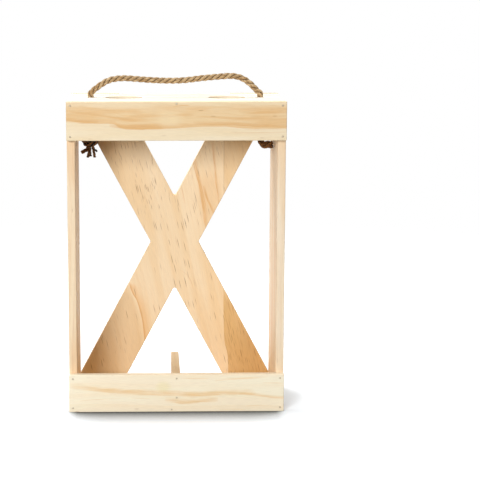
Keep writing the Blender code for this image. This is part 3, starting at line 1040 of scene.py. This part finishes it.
low_pieces = [rope_pieces[name] for name in ("rope_knot_left", "rope_knot_right", "rope_cut_end")]
low_pieces.append(loose_strands)
lift_joint = next(j for j in frame["joints"] if j["name"] == "handle_lift")
knot_fibre_longest = 2.6 * mm
fibre_ceiling = panel_underside - lift_joint["range_m"][1] - knot_fibre_longest
knot_fibres = bake(
    "knot_fibres",
    joined_copy("knot_fibre_ground", low_pieces, fibre_ceiling),
    stray_fibres,
    Longest=knot_fibre_longest,
    Seed=2,
    Material=fibre,
)

# %% [markdown]
# ## How the rope moves
# Lifted, the whole rope slides until its knots stop under the panel. Tipped, only the arch
# turns. So the free stretch and its fibres follow the rope's ends up to the panel's top, and
# follow the handle from the start of the arch.

# %% Ride and blend
bend_low = (0, 0, 0.312)
bend_high = (0, 0, 0.324)
for piece in (rope_pieces["rope"], rope_fibres):
    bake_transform(piece, "rope_ends", "handle", start=bend_low, end=bend_high)
for piece in (*low_pieces, knot_fibres):
    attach(piece, "rope_ends")
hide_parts("rope_handle", "rope_end_left", "rope_end_right")
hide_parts("knot_left")
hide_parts("knot_right")
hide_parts("tail_right")
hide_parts(*[f"tail_left_{number}" for number in range(1, 6)])

# %% [markdown]
# ## Planed pine
# The boards are planed and sanded softwood with no finish. A plank's figure is its growth
# rings cut by a plane: pale earlywood that darkens slowly to a thin tan latewood line and
# then stops sharply. So the material measures each point's distance from the tree's pith,
# in millimetres, lets it drift a little as a real trunk does, and cuts that distance into
# rings. Over the rings lie broad changes of tone, fine fibres along the grain, and short
# dark resin canals. End grain drinks light and is darker.

# %% Defaults of a pine board
grain_turns = {
    "X": (0.0, 0.0, 0.0),
    "Y": (0.0, 0.0, -math.pi / 2),
    "Z": (0.0, math.pi / 2, 0.0),
}
pine_defaults = {
    "grain": "X",
    "lean": 0.0,
    "shift": (0.0, 0.0, 0.0),
    "pale": "f0dcb8",
    "tan": "e6c79c",
    "line": "d3a264",
    "resin": "a06a34",
    "pith": (0.0, 300.0),
    "ring": 7.0,
    "ring_strength": 0.35,
    "drift": 5.0,
    "tone": (0.42, 0.62),
    "streaks": 0.5,
    "canal": (12.0, 2.6),
    "resin_share": 0.12,
    "resin_strength": 0.55,
    "end_grain": "e6c99c",
    "bump": 0.22,
}
print(f"by default a year's ring is {pine_defaults['ring']} mm wide")


# %% Where a point is in the trunk
def in_millimetres(tree):
    """The crate's own coordinates in millimetres."""
    place = add_node(tree, "ShaderNodeTexCoord").outputs["Object"]
    return add_node(tree, "ShaderNodeMapping", {"Vector": place, "Scale": (1 / mm,) * 3})


def along_grain(tree, flat, grain, lean, shift):
    """The same place, turned so that X runs along the grain."""
    turned = add_node(tree, "ShaderNodeMapping", {"Vector": flat, "Rotation": grain_turns[grain]})
    return add_node(
        tree,
        "ShaderNodeMapping",
        {"Vector": turned, "Rotation": (0, math.radians(lean), 0), "Location": shift},
    )


def pith_distance(tree, place, pith, drift):
    """How far a point is from the tree's pith, which drifts a little along the trunk."""
    split = add_node(tree, "ShaderNodeSeparateXYZ", [place]).outputs
    y = add_node(tree, "ShaderNodeMath", [split["Y"], pith[0]], operation="SUBTRACT")
    z = add_node(tree, "ShaderNodeMath", [split["Z"], pith[1]], operation="SUBTRACT")
    across = add_node(tree, "ShaderNodeCombineXYZ", {"Y": y, "Z": z})
    radius = add_node(tree, "ShaderNodeVectorMath", [across], operation="LENGTH")
    wander = grain_noise(tree, place, 130.0, 45.0, 1.0)
    ripple = grain_noise(tree, place, 26.0, 7.0, 1.0)
    radius = add_node(
        tree, "ShaderNodeMath", [wander, 2 * drift, radius], operation="MULTIPLY_ADD"
    )
    return add_node(
        tree, "ShaderNodeMath", [ripple, 0.3 * drift, radius], operation="MULTIPLY_ADD"
    )


print("the grain can run along", ", ".join(grain_turns))


# %% Rings, resin canals and end grain
def ring_lines(tree, radius, ring):
    """Latewood from 0 to 1: slow to darken, sharp to end, and stronger in some years."""
    years = add_node(tree, "ShaderNodeMath", [radius, ring], operation="DIVIDE")
    share = add_node(tree, "ShaderNodeMath", [years], operation="FRACT")
    darker = add_node(tree, "ShaderNodeMapRange", [share, 0.35, 0.92], **eased)
    end = add_node(tree, "ShaderNodeMapRange", [share, 0.95, 1.0, 1.0, 0.0], **eased)
    year = add_node(tree, "ShaderNodeMath", [years], operation="FLOOR")
    luck = add_node(tree, "ShaderNodeTexWhiteNoise", {"W": year}, noise_dimensions="1D")
    strength = add_node(
        tree, "ShaderNodeMapRange", {"Value": luck.outputs["Value"], "To Min": 0.3}
    )
    line = add_node(tree, "ShaderNodeMath", [darker, end], operation="MULTIPLY")
    return add_node(tree, "ShaderNodeMath", [line, strength], operation="MULTIPLY")


def resin_canals(tree, place, canal, share):
    """Short dark dashes along the grain, in only some of their cells and mostly in bands."""
    length, width = canal
    cells = add_node(
        tree, "ShaderNodeMapping", {"Vector": place, "Scale": (1 / length, 1 / width, 1 / width)}
    )
    dots = add_node(tree, "ShaderNodeTexVoronoi", {"Vector": cells, "Scale": 1.0}).outputs
    thin = add_node(tree, "ShaderNodeMapRange", [dots["Distance"], 0.10, 0.30, 1.0, 0.0], **eased)
    pick = add_node(tree, "ShaderNodeSeparateColor", [dots["Color"]]).outputs["Red"]
    some = add_node(tree, "ShaderNodeMapRange", [pick, 1.0 - share, 1.02 - share], **eased)
    broad = grain_noise(tree, place, 70.0, 9.0, 1.0)
    bands = add_node(tree, "ShaderNodeMapRange", [broad, 0.38, 0.55, 0.1, 1.0], **eased)
    dashes = add_node(tree, "ShaderNodeMath", [thin, some], operation="MULTIPLY")
    return add_node(tree, "ShaderNodeMath", [dashes, bands], operation="MULTIPLY")


def end_grain_share(tree, grain):
    """1 on the faces that the grain runs into, which are sawn across the fibres."""
    face = add_node(tree, "ShaderNodeTexCoord").outputs["Normal"]
    split = add_node(tree, "ShaderNodeSeparateXYZ", [face]).outputs
    facing = add_node(tree, "ShaderNodeMath", [split[grain]], operation="ABSOLUTE")
    return add_node(tree, "ShaderNodeMapRange", [facing, 0.8, 0.95], **eased)


print("rings, resin canals and end grain are defined")


# %% The pine material
def planed_pine(name, layers=(), **choices):
    """Planed softwood, with the defaults above changed for one board, and its own marks added."""
    given = pine_defaults | choices
    material = new_material(name)
    tree = material.node_tree
    flat = in_millimetres(tree)
    place = along_grain(tree, flat, given["grain"], given["lean"], given["shift"])
    tone = grain_noise(tree, place, 150.0, 16.0, 2.0)
    streaks = grain_noise(tree, place, 70.0, 2.2, 2.0)
    fibres = grain_noise(tree, place, 9.0, 0.5, 2.0)
    radius = pith_distance(tree, place, given["pith"], given["drift"])
    lines = ring_lines(tree, radius, given["ring"])
    colour = eased_blend(tree, [tone, *given["tone"]], linear(given["pale"]), given["tan"])
    streaked = [streaks, 0.5, 0.75, 0.0, given["streaks"]]
    colour = eased_blend(tree, streaked, colour, given["tan"])
    colour = scaled_blend(tree, lines, given["ring_strength"], colour, given["line"])
    for layer in layers:
        colour = layer(tree, flat, place, colour)
    canals = resin_canals(tree, place, given["canal"], given["resin_share"])
    colour = scaled_blend(tree, canals, given["resin_strength"], colour, given["resin"])
    grey = add_node(tree, "ShaderNodeMapRange", [fibres, 0.3, 0.7, 0.955, 1.03], **eased)
    shade = add_node(tree, "ShaderNodeCombineColor", [grey, grey, grey])
    ends = end_grain_share(tree, given["grain"])
    for share, darker in ((1.0, shade), (ends, linear(given["end_grain"]))):
        colour = add_node(
            tree,
            "ShaderNodeMix",
            [share, colour, darker],
            data_type="RGBA",
            blend_type="MULTIPLY",
        )
    rough = add_node(tree, "ShaderNodeMapRange", [fibres, 0.3, 0.7, 0.50, 0.64], **eased)
    height = add_node(tree, "ShaderNodeMath", [lines, 0.5, fibres], operation="MULTIPLY_ADD")
    bump = add_node(
        tree,
        "ShaderNodeBump",
        {"Strength": given["bump"], "Distance": 0.1 * mm, "Height": height},
    )
    shade_with(tree, Base_Color=colour, Roughness=rough, Normal=bump)
    return material


def finish(node, material):
    """Gives a CAD node's slots this material."""
    for slot in nodes[node].material_slots:
        slot.material = material


print(f"a pine board has {len(pine_defaults)} choices")


# %% [markdown]
# ## Marks of a certain board
# Noise gives each board a likely figure, but a few marks are what makes a board itself: a
# band of heartwood with a ragged edge, a thin orange streak, the joint between two staves.
# They are drawn as lines, each a list of points in millimetres, and a Float Curve turns such a list into a
# smooth line. Noise roughens it, so that it still looks grown.

# %% Marks drawn as lines
def drawn_line(tree, along, points):
    """A smooth line through given points: how high it is at each place along."""
    first, last = points[0][0], points[-1][0]
    heights = [height for _, height in points]
    low, high = min(heights), max(heights) + 0.01
    share = add_node(tree, "ShaderNodeMapRange", [along, first, last])
    curve = add_node(tree, "ShaderNodeFloatCurve", {"Value": share})
    spots = [((x - first) / (last - first), (y - low) / (high - low)) for x, y in points]
    drawn = curve.mapping.curves[0].points
    drawn[0].location = spots[0]
    drawn[1].location = spots[-1]
    for spot in spots[1:-1]:
        drawn.new(*spot)
    curve.mapping.update()
    return add_node(tree, "ShaderNodeMapRange", {"Value": curve, "To Min": low, "To Max": high})


def roughened(tree, place, value, reach, along=18.0, across=1.4):
    """A value that noise moves up and down by a reach in millimetres."""
    noise = grain_noise(tree, place, along, across, 2.0)
    moved = add_node(tree, "ShaderNodeMath", [noise, 2 * reach, value], operation="MULTIPLY_ADD")
    return add_node(tree, "ShaderNodeMath", [moved, reach], operation="SUBTRACT")


def streak(tree, place, along, height, points, thick):
    """1 on a drawn line, fading upwards over its thickness and tapering at both its ends."""
    first, last = points[0][0], points[-1][0]
    share = add_node(tree, "ShaderNodeMapRange", [along, first, last])
    rest = add_node(tree, "ShaderNodeMath", [1.0, share], operation="SUBTRACT")
    hump = add_node(tree, "ShaderNodeMath", [share, rest], operation="MULTIPLY")
    hump = add_node(tree, "ShaderNodeMath", [hump, 4.0], operation="MULTIPLY")
    taper = add_node(tree, "ShaderNodeMath", [hump], operation="SQRT")
    height = roughened(tree, place, height, 0.35 * thick)
    line = drawn_line(tree, along, points)
    above = add_node(tree, "ShaderNodeMath", [height, line], operation="SUBTRACT")
    above = add_node(tree, "ShaderNodeMath", [above, thick], operation="DIVIDE")
    sharp = add_node(tree, "ShaderNodeMapRange", [above, -0.12, 0.12], **eased)
    soft = add_node(tree, "ShaderNodeMapRange", [above, 0.3, 1.1, 1.0, 0.0], **eased)
    gaps = grain_noise(tree, place, 24.0, 0.8, 2.0)
    broken = add_node(tree, "ShaderNodeMapRange", [gaps, 0.36, 0.6, 0.45, 1.0], **eased)
    taper = add_node(tree, "ShaderNodeMath", [taper, broken], operation="MULTIPLY")
    across = add_node(tree, "ShaderNodeMath", [sharp, soft], operation="MULTIPLY")
    return add_node(tree, "ShaderNodeMath", [across, taper], operation="MULTIPLY")


def drawn_streaks(tree, place, along, height, streaks, colour, over):
    """A colour with a list of streaks over it, each with its own strength and thickness."""
    for amount, thick, points in streaks:
        share = streak(tree, place, along, height, points, thick)
        colour = scaled_blend(tree, share, amount, colour, over)
    return colour


def soft_patch(tree, flat, centre, size):
    """1 in the middle of an oval patch of the crate's front, fading to 0 at its edge."""
    moved = add_node(
        tree, "ShaderNodeMapping", {"Vector": flat, "Location": (-centre[0], 0, -centre[1])}
    )
    shares = (1 / size[0], 0, 1 / size[1])
    scaled = add_node(tree, "ShaderNodeVectorMath", [moved, shares], operation="MULTIPLY")
    away = add_node(tree, "ShaderNodeVectorMath", [scaled], operation="LENGTH")
    return add_node(tree, "ShaderNodeMapRange", [away, 0.3, 1.0, 1.0, 0.0], **eased)


print("lines, streaks and patches can be drawn")

# %% [markdown]
# ## The rails' own marks
# The high rail is cut across the edge of the heartwood, so it has a tan band with a ragged
# lower edge, and the low rail has a few orange streaks. Noise alone would put such marks
# anywhere. Each is a line in millimetres on the crate, so that it is where the photograph
# has it, is sharp at any distance and goes on round the board's edge.

# %% Marks of the high rail
high_rail_top = panel_top / mm
heartwood_edge = [
    (-108.0, 18.3),
    (-90.5, 20.5),
    (-76.5, 21.5),
    (-64.5, 21.5),
    (-57.5, 24.5),
    (-49.5, 26.5),
    (-26.5, 27.0),
    (-6.5, 26.5),
    (11.5, 25.5),
    (28.5, 24.5),
    (43.5, 24.5),
    (55.5, 25.5),
    (68.5, 26.5),
    (108.0, 26.7),
]
high_rail_streaks = [
    (0.75, 5.0, [(-118, -19), (-104, -20), (-90, -21), (-76, -21)]),
    (0.90, 5.5, [(-66, -24), (-56, -26), (-44, -27), (-30, -27), (-14, -26)]),
    (0.55, 3.5, [(-112, -9), (-92, -12), (-70, -15), (-44, -19), (-28, -20)]),
    (0.45, 3.0, [(-96, -5), (-78, -8), (-62, -9), (-50, -10)]),
    (0.75, 4.0, [(16, -22), (34, -23), (50, -23), (68, -24), (90, -25), (116, -25)]),
    (0.50, 4.5, [(60, -10), (76, -12), (90, -12), (112, -11)]),
    (0.45, 2.4, [(18, -15), (40, -16), (64, -17), (86, -17)]),
    (0.35, 1.4, [(52, -31), (74, -31), (100, -30.5), (112, -30)]),
    (0.35, 1.2, [(66, -28), (84, -28), (104, -27.5)]),
    (0.60, 1.6, [(-4, -5.4), (2, -4.6), (8, -4.2), (13, -4.6)]),
]


def heartwood_band(tree, flat, place, colour):
    """The high rail's tan band: ragged and strong below, and faded towards its upper edge."""
    split = add_node(tree, "ShaderNodeSeparateXYZ", [flat]).outputs
    depth = add_node(tree, "ShaderNodeMath", [high_rail_top, split["Z"]], operation="SUBTRACT")
    edge = drawn_line(tree, split["X"], heartwood_edge)
    ragged = roughened(tree, place, depth, 0.9)
    inside = add_node(tree, "ShaderNodeMath", [edge, ragged], operation="SUBTRACT")
    strong = add_node(tree, "ShaderNodeMapRange", [inside, -0.2, 0.7], **eased)
    faded = add_node(tree, "ShaderNodeMapRange", [depth, 1.0, 9.0, 0.35, 1.0], **eased)
    band = add_node(tree, "ShaderNodeMath", [strong, faded], operation="MULTIPLY")
    colour = scaled_blend(tree, band, 0.85, colour, "ebca98")
    blotches = grain_noise(tree, place, 60.0, 7.0, 2.0)
    patches = add_node(tree, "ShaderNodeMapRange", [blotches, 0.42, 0.62], **eased)
    patches = add_node(tree, "ShaderNodeMath", [band, patches], operation="MULTIPLY")
    colour = scaled_blend(tree, patches, 0.6, colour, "e2b67c")
    inner = add_node(tree, "ShaderNodeMapRange", [inside, 6.5, 0.6], **eased)
    outer = add_node(tree, "ShaderNodeMapRange", [inside, -0.2, 0.5], **eased)
    rim = add_node(tree, "ShaderNodeMath", [inner, outer], operation="MULTIPLY")
    colour = scaled_blend(tree, rim, 0.35, colour, "dca766")
    rings = ring_lines(tree, inside, 3.4)
    rings = add_node(tree, "ShaderNodeMath", [rings, band], operation="MULTIPLY")
    colour = scaled_blend(tree, rings, 0.12, colour, "d8a565")
    height = add_node(tree, "ShaderNodeMath", [0.0, depth], operation="SUBTRACT")
    colour = drawn_streaks(tree, place, split["X"], height, high_rail_streaks, colour, "dcaa6a")
    pale = soft_patch(tree, flat, (-7.0, 295.0), (17.0, 11.0))
    return scaled_blend(tree, pale, 0.5, colour, "f2dcb2")


print(f"the high rail has {len(high_rail_streaks)} streaks in its band")

# %% Marks of the low rail
low_rail_streaks = [
    (
        0.85,
        6.5,
        [(-107, 24.4), (-94, 23.2), (-79, 21.1), (-69, 20.2), (-51, 18.3), (-33, 17.6), (4, 16.6)],
    ),
    (0.50, 2.6, [(-72, 22.2), (-54, 21.4), (-34, 20.7), (-20, 20.2)]),
    (
        0.95,
        6.5,
        [(-14, 17.6), (-5, 16.4), (5, 15.6), (23, 15.6), (40, 16.5), (58, 17.2), (70, 17.4),
         (80, 15.6)],
    ),
    (0.75, 3.4, [(62, 17.6), (77, 16.4), (88, 14.9), (100, 13.4), (112, 12.4)]),
    (0.90, 5.5, [(-12, 10.6), (0, 9.2), (9, 8.0), (17, 8.2), (26, 9.4), (42, 10.4)]),
    (0.50, 2.4, [(38, 31.0), (49, 32.4), (61, 33.0), (76, 33.9), (92, 34.6)]),
    (0.50, 1.2, [(86, 29.1), (110, 28.6)]),
    (0.45, 1.2, [(4, 34.1), (33, 33.8)]),
    (0.35, 1.2, [(-98, 11.3), (-76, 12.8), (-56, 13.4)]),
    (0.35, 1.2, [(-46, 14.0), (-26, 13.3)]),
    (0.45, 1.2, [(70, 5.1), (84, 5.7), (97, 5.4)]),
    (0.45, 1.4, [(42, 1.2), (55, 1.6), (70, 1.0)]),
    (0.80, 0.8, [(63, 17.6), (69, 17.9), (76, 17.6)]),
]


def orange_streaks(tree, flat, place, colour):
    """The low rail's few thin latewood streaks, and a faint yellow spot of resin."""
    split = add_node(tree, "ShaderNodeSeparateXYZ", [flat]).outputs
    spot = soft_patch(tree, flat, (-13.5, 25.5), (10.0, 8.0))
    colour = scaled_blend(tree, spot, 0.40, colour, "f3e4a8")
    return drawn_streaks(tree, place, split["X"], split["Z"], low_rail_streaks, colour, "f1ca8f")


print(f"the low rail has {len(low_rail_streaks)} streaks")

# %% [markdown]
# ## The crossed panel's own marks
# The cross is cut from one board that was glued up from staves, and they differ in tone.
# Each stave could be a solid of its own, but their joints are planed flush and show only as a line and a
# change of colour. So they are drawn in the material, with a tongue of amber heartwood low on the left and
# crowds of resin flecks. The upper left corner of the front also gets a painted shade.

# %% Marks of the crossed panel
panel_middle = (back_face - board / 2) / mm
stave_joint = [
    (0.0, 57.5), (30.0, 56.6), (51.0, 52.8), (80.0, 51.8), (200.0, 51.6), (312.0, 51.6),
]
amber_left = [(20.0, -31.0), (59.0, -33.0), (83.5, -37.2), (109.6, -47.7), (130.0, -52.0)]
upper_arm_streaks = [
    (
        0.85,
        5.0,
        [(164, 33.0), (171, 31.9), (189, 29.4), (203, 27.7), (219, 24.4), (236, 20.3),
         (250, 17.0)],
    ),
    (0.90, 3.0, [(182, 41.5), (187, 39.6), (194, 36.8), (203, 32.7), (216, 29.5)]),
    (0.70, 3.0, [(190, 47.5), (199, 45.9), (219, 42.6), (239, 41.0), (262, 38.0)]),
    (0.45, 1.6, [(196, 10.5), (206, 8.5), (217, 6.0)]),
    (0.40, 1.2, [(104, 19.5), (118, 14.5), (124, 8.0), (126, 2.0)]),
]
fleck_crowds = [
    (0.85, (17.0, 1.0), 0.95, (-48.0, 236.0), (56.0, 56.0)),
    (0.80, (14.0, 1.0), 0.85, (-18.0, 208.0), (28.0, 40.0)),
    (1.00, (26.0, 1.3), 0.90, (12.0, 148.0), (30.0, 84.0)),
    (0.60, (14.0, 1.0), 0.85, (42.0, 262.0), (40.0, 36.0)),
    (0.80, (15.0, 1.0), 0.85, (74.0, 34.0), (34.0, 44.0)),
    (0.60, (15.0, 1.0), 0.80, (-72.0, 44.0), (38.0, 48.0)),
]


def resin_flecks(tree, flat, place, colour):
    """Fine resin flecks, which stand in crowds where the panel was cut across their canals."""
    for amount, canal, share, centre, size in fleck_crowds:
        crowd = soft_patch(tree, flat, centre, size)
        flecks = resin_canals(tree, place, canal, share)
        flecks = add_node(tree, "ShaderNodeMath", [flecks, crowd], operation="MULTIPLY")
        colour = scaled_blend(tree, flecks, amount, colour, "8c5c22")
    return colour


def golden_stave_and_corner_shade(tree, flat, place, colour):
    """The panel is glued from staves. The right one is more golden, mostly low down. The upper left corner
    of the front has a painted shade.
    """
    split = add_node(tree, "ShaderNodeSeparateXYZ", [flat]).outputs
    x, y, z = split["X"], split["Y"], split["Z"]
    # Painted shade: the upper left corner of the panel's front is darkened as the shadow of the top rail and
    # the left side board.
    front = add_node(
        tree, "ShaderNodeMapRange", [y, panel_middle, panel_middle - 1.0], **eased
    )
    painted_corner_shade = soft_patch(tree, flat, (-86.0, 270.0), (38.0, 34.0))
    painted_corner_shade = add_node(tree, "ShaderNodeMath", [painted_corner_shade, front], operation="MULTIPLY")
    colour = scaled_blend(tree, painted_corner_shade, 0.75, colour, "9c6c2e")
    joint = drawn_line(tree, z, stave_joint)
    past = add_node(tree, "ShaderNodeMath", [x, joint], operation="SUBTRACT")
    stave = add_node(tree, "ShaderNodeMapRange", [past, -0.1, 0.4], **eased)
    low = add_node(tree, "ShaderNodeMapRange", [z, 120.0, 85.0], **eased)
    high = add_node(tree, "ShaderNodeMapRange", [z, 190.0, 230.0, 0.0, 0.45], **eased)
    strength = add_node(tree, "ShaderNodeMath", [low, high], operation="MAXIMUM")
    strength = add_node(tree, "ShaderNodeMath", [stave, strength], operation="MULTIPLY")
    colour = scaled_blend(tree, strength, 0.80, colour, "d8ae6c")
    corner = soft_patch(tree, flat, (100.0, 35.0), (50.0, 75.0))
    corner = add_node(tree, "ShaderNodeMath", [corner, strength], operation="MULTIPLY")
    colour = scaled_blend(tree, corner, 0.6, colour, "c09455")
    ticks = grain_noise(tree, place, 20.0, 1.3, 2.0)
    ticks = add_node(tree, "ShaderNodeMapRange", [ticks, 0.52, 0.68], **eased)
    ticks = add_node(tree, "ShaderNodeMath", [ticks, strength], operation="MULTIPLY")
    colour = scaled_blend(tree, ticks, 0.40, colour, "b37f42")
    gum = add_node(tree, "ShaderNodeMath", [past], operation="ABSOLUTE")
    gum = add_node(tree, "ShaderNodeMapRange", [gum, 0.5, 0.1], **eased)
    gum = add_node(tree, "ShaderNodeMath", [gum, high], operation="MULTIPLY")
    return scaled_blend(tree, gum, 1.0, colour, "9a7040")


def amber_tongue(tree, flat, place, colour):
    """A tongue of amber heartwood in the low left arm, with greyer wood to its left."""
    split = add_node(tree, "ShaderNodeSeparateXYZ", [flat]).outputs
    x = roughened(tree, place, split["X"], 0.8, 24.0, 2.0)
    edge = drawn_line(tree, split["Z"], amber_left)
    past_left = add_node(tree, "ShaderNodeMath", [x, edge], operation="SUBTRACT")
    top = roughened(tree, place, split["Z"], 6.0, 12.0, 2.5)
    below = add_node(tree, "ShaderNodeMapRange", [top, 113.0, 107.0], **eased)
    grey = add_node(tree, "ShaderNodeMapRange", [past_left, 1.0, -6.0], **eased)
    grey = add_node(tree, "ShaderNodeMath", [grey, below], operation="MULTIPLY")
    colour = scaled_blend(tree, grey, 0.45, colour, "dab37a")
    inside = add_node(tree, "ShaderNodeMapRange", [past_left, -0.3, 0.4], **eased)
    for far, near, amount, amber in ((12.0, 0.0, 0.60, "e8b570"), (1.8, 0.4, 0.55, "d59a55")):
        tongue = add_node(tree, "ShaderNodeMapRange", [past_left, far, near], **eased)
        tongue = add_node(tree, "ShaderNodeMath", [inside, tongue], operation="MULTIPLY")
        tongue = add_node(tree, "ShaderNodeMath", [tongue, below], operation="MULTIPLY")
        colour = scaled_blend(tree, tongue, amount, colour, amber)
    return colour


def upper_arm_lines(tree, flat, place, colour):
    """The amber lines that cross the upper right arm, and the glow round them."""
    split = add_node(tree, "ShaderNodeSeparateXYZ", [flat]).outputs
    glow = soft_patch(tree, flat, (38.0, 205.0), (18.0, 42.0))
    colour = scaled_blend(tree, glow, 0.35, colour, "e3b475")
    return drawn_streaks(tree, place, split["Z"], split["X"], upper_arm_streaks, colour, "dca763")


print(f"the crossed panel has {len(fleck_crowds)} crowds of flecks")

# %% [markdown]
# ## A pine for each board
# No two boards are sawn from the same place in a trunk. One shared material would make them
# all alike, so each board gets its own tones, its own distance from the pith and its own
# shift along the trunk. The grain runs along each board, and a little askew in the cross.

# %% Pine for each board
boards = {
    # Sapwood, almost white, so its few orange streaks stand out.
    "bottom_rail": planed_pine(
        "pale_pine_low_rail", layers=[orange_streaks], pale="fff4d9", tan="ffefd2", line="f6daa8",
        shift=(40, 0, 7), ring_strength=0.25, pith=(0.0, -260.0), ring=11.0, resin_share=0.04,
        resin_strength=0.4,
    ),
    # Half heartwood: cream at the bottom, and tan and a little blotchy above.
    "top_rail": planed_pine(
        "tan_pine_high_rail", layers=[heartwood_band], pale="f3e2c2", tan="efdab4", line="e3bd88",
        shift=(0, 0, 60), ring_strength=0.25, pith=(0.0, 320.0), resin_share=0.05,
        resin_strength=0.4,
    ),
    # Resinous wood: golden, close-ringed, and full of short dark flecks.
    "crossed_panel": planed_pine(
        "golden_pine_panel", layers=[golden_stave_and_corner_shade, amber_tongue, upper_arm_lines, resin_flecks],
        grain="Z", lean=13.0, pale="f7e1be", tan="f1d4a8", line="dfb278", ring=5.0,
        ring_strength=0.10, pith=(-30.0, 210.0), tone=(0.35, 0.7), streaks=0.20,
        canal=(22.0, 1.4), resin_share=0.34, resin="85500f", resin_strength=0.65,
        end_grain="f7ecd8",
    ),
    # A pinkish sapwood that looks warm in the crate's own shade.
    "side_board_left": planed_pine(
        "pine_side_left", grain="Z", pale="f6dfbd", tan="efcda4", line="dba876", shift=(0, 9, 400),
        pith=(120.0, 40.0), ring=4.5,
    ),
    # The same wood from another plank, and paler.
    "side_board_right": planed_pine(
        "pine_side_right", grain="Z", pale="f9e6ca", tan="f3d7b2", line="dfb484",
        shift=(200, 4, 90), pith=(-140.0, 70.0), ring=5.0,
    ),
    # The palest sapwood, which the lamp overhead turns almost white.
    "top_panel": planed_pine(
        "pale_pine_top", pale="fbf4e6", tan="f6ead2", line="e6c898", shift=(70, 30, 0),
        pith=(60.0, -90.0), ring=6.0,
    ),
    # Strong rings in a tan wood, darker than the walls partly as painted shade, so the floor inside looks
    # deeper.
    "bottom_panel": planed_pine(
        "tan_pine_tray", pale="ecd0a2", tan="dcb27c", line="b9854c", shift=(310, 60, 0),
        pith=(30.0, -70.0), ring=5.0, ring_strength=0.6,
    ),
    # Tan like the tray, with end grain at its front and back edges.
    "divider": planed_pine(
        "pine_divider", grain="Y", pale="ecd2a6", tan="dfb984", line="c4925a", shift=(80, 0, 30),
    ),
}
for node, material in boards.items():
    finish(node, material)
print(f"{len(boards)} boards have their own pine")

# %% [markdown]
# ## Nails
# The joints are held by brads, thin steel nails that are driven just below the surface.
# Close up such wire is a dull grey. In a picture of this size a head is only a speck, about as pale as the
# wood round it, so its colour is a painted sheen, a pale cream, and the steel is only partly metallic.

# %% The nails' steel
def pale_steel_wire_painted_sheen():
    """Brad wire under a thin film of oxide, so it is only partly metallic and a little rough. Its pale cream
    colour is a painted sheen.
    """
    material = new_material("pale_steel_wire_painted_sheen")
    tree = material.node_tree
    place = add_node(tree, "ShaderNodeTexCoord").outputs["Object"]
    spots = add_node(
        tree, "ShaderNodeTexNoise", {"Vector": place, "Scale": 1 / (0.5 * mm), "Detail": 3.0}
    )
    # Painted sheen: pale cream colours in place of steel's dull grey.
    colour = eased_blend(tree, [spots, 0.4, 0.65], linear("e4d8c2"), "c9bba3")
    rough = add_node(tree, "ShaderNodeMapRange", [spots, 0.35, 0.65, 0.38, 0.62], **eased)
    bump = add_node(
        tree, "ShaderNodeBump", {"Strength": 0.3, "Distance": 0.03 * mm, "Height": spots}
    )
    shade_with(tree, Base_Color=colour, Metallic=0.35, Roughness=rough, Normal=bump)
    return material


steel = pale_steel_wire_painted_sheen()
nails = [name for name in nodes if name.startswith("nail_")]
for name in nails:
    finish(name, steel)
print(f"{len(nails)} brads are oxidised steel")

# %% [markdown]
# ## Sizes
# The looks must not change the object's size. Its box with the solids alone and its box as dressed are
# measured, and how far each corner moved is printed.

# %% Compare the boxes and finish
dressed_box = [list(corner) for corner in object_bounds()]
growth = [(b - a) / mm for a, b in zip(sum(cad_box, []), sum(dressed_box, []))]
print("the box's corners moved by", [round(g, 1) for g in growth], "mm")
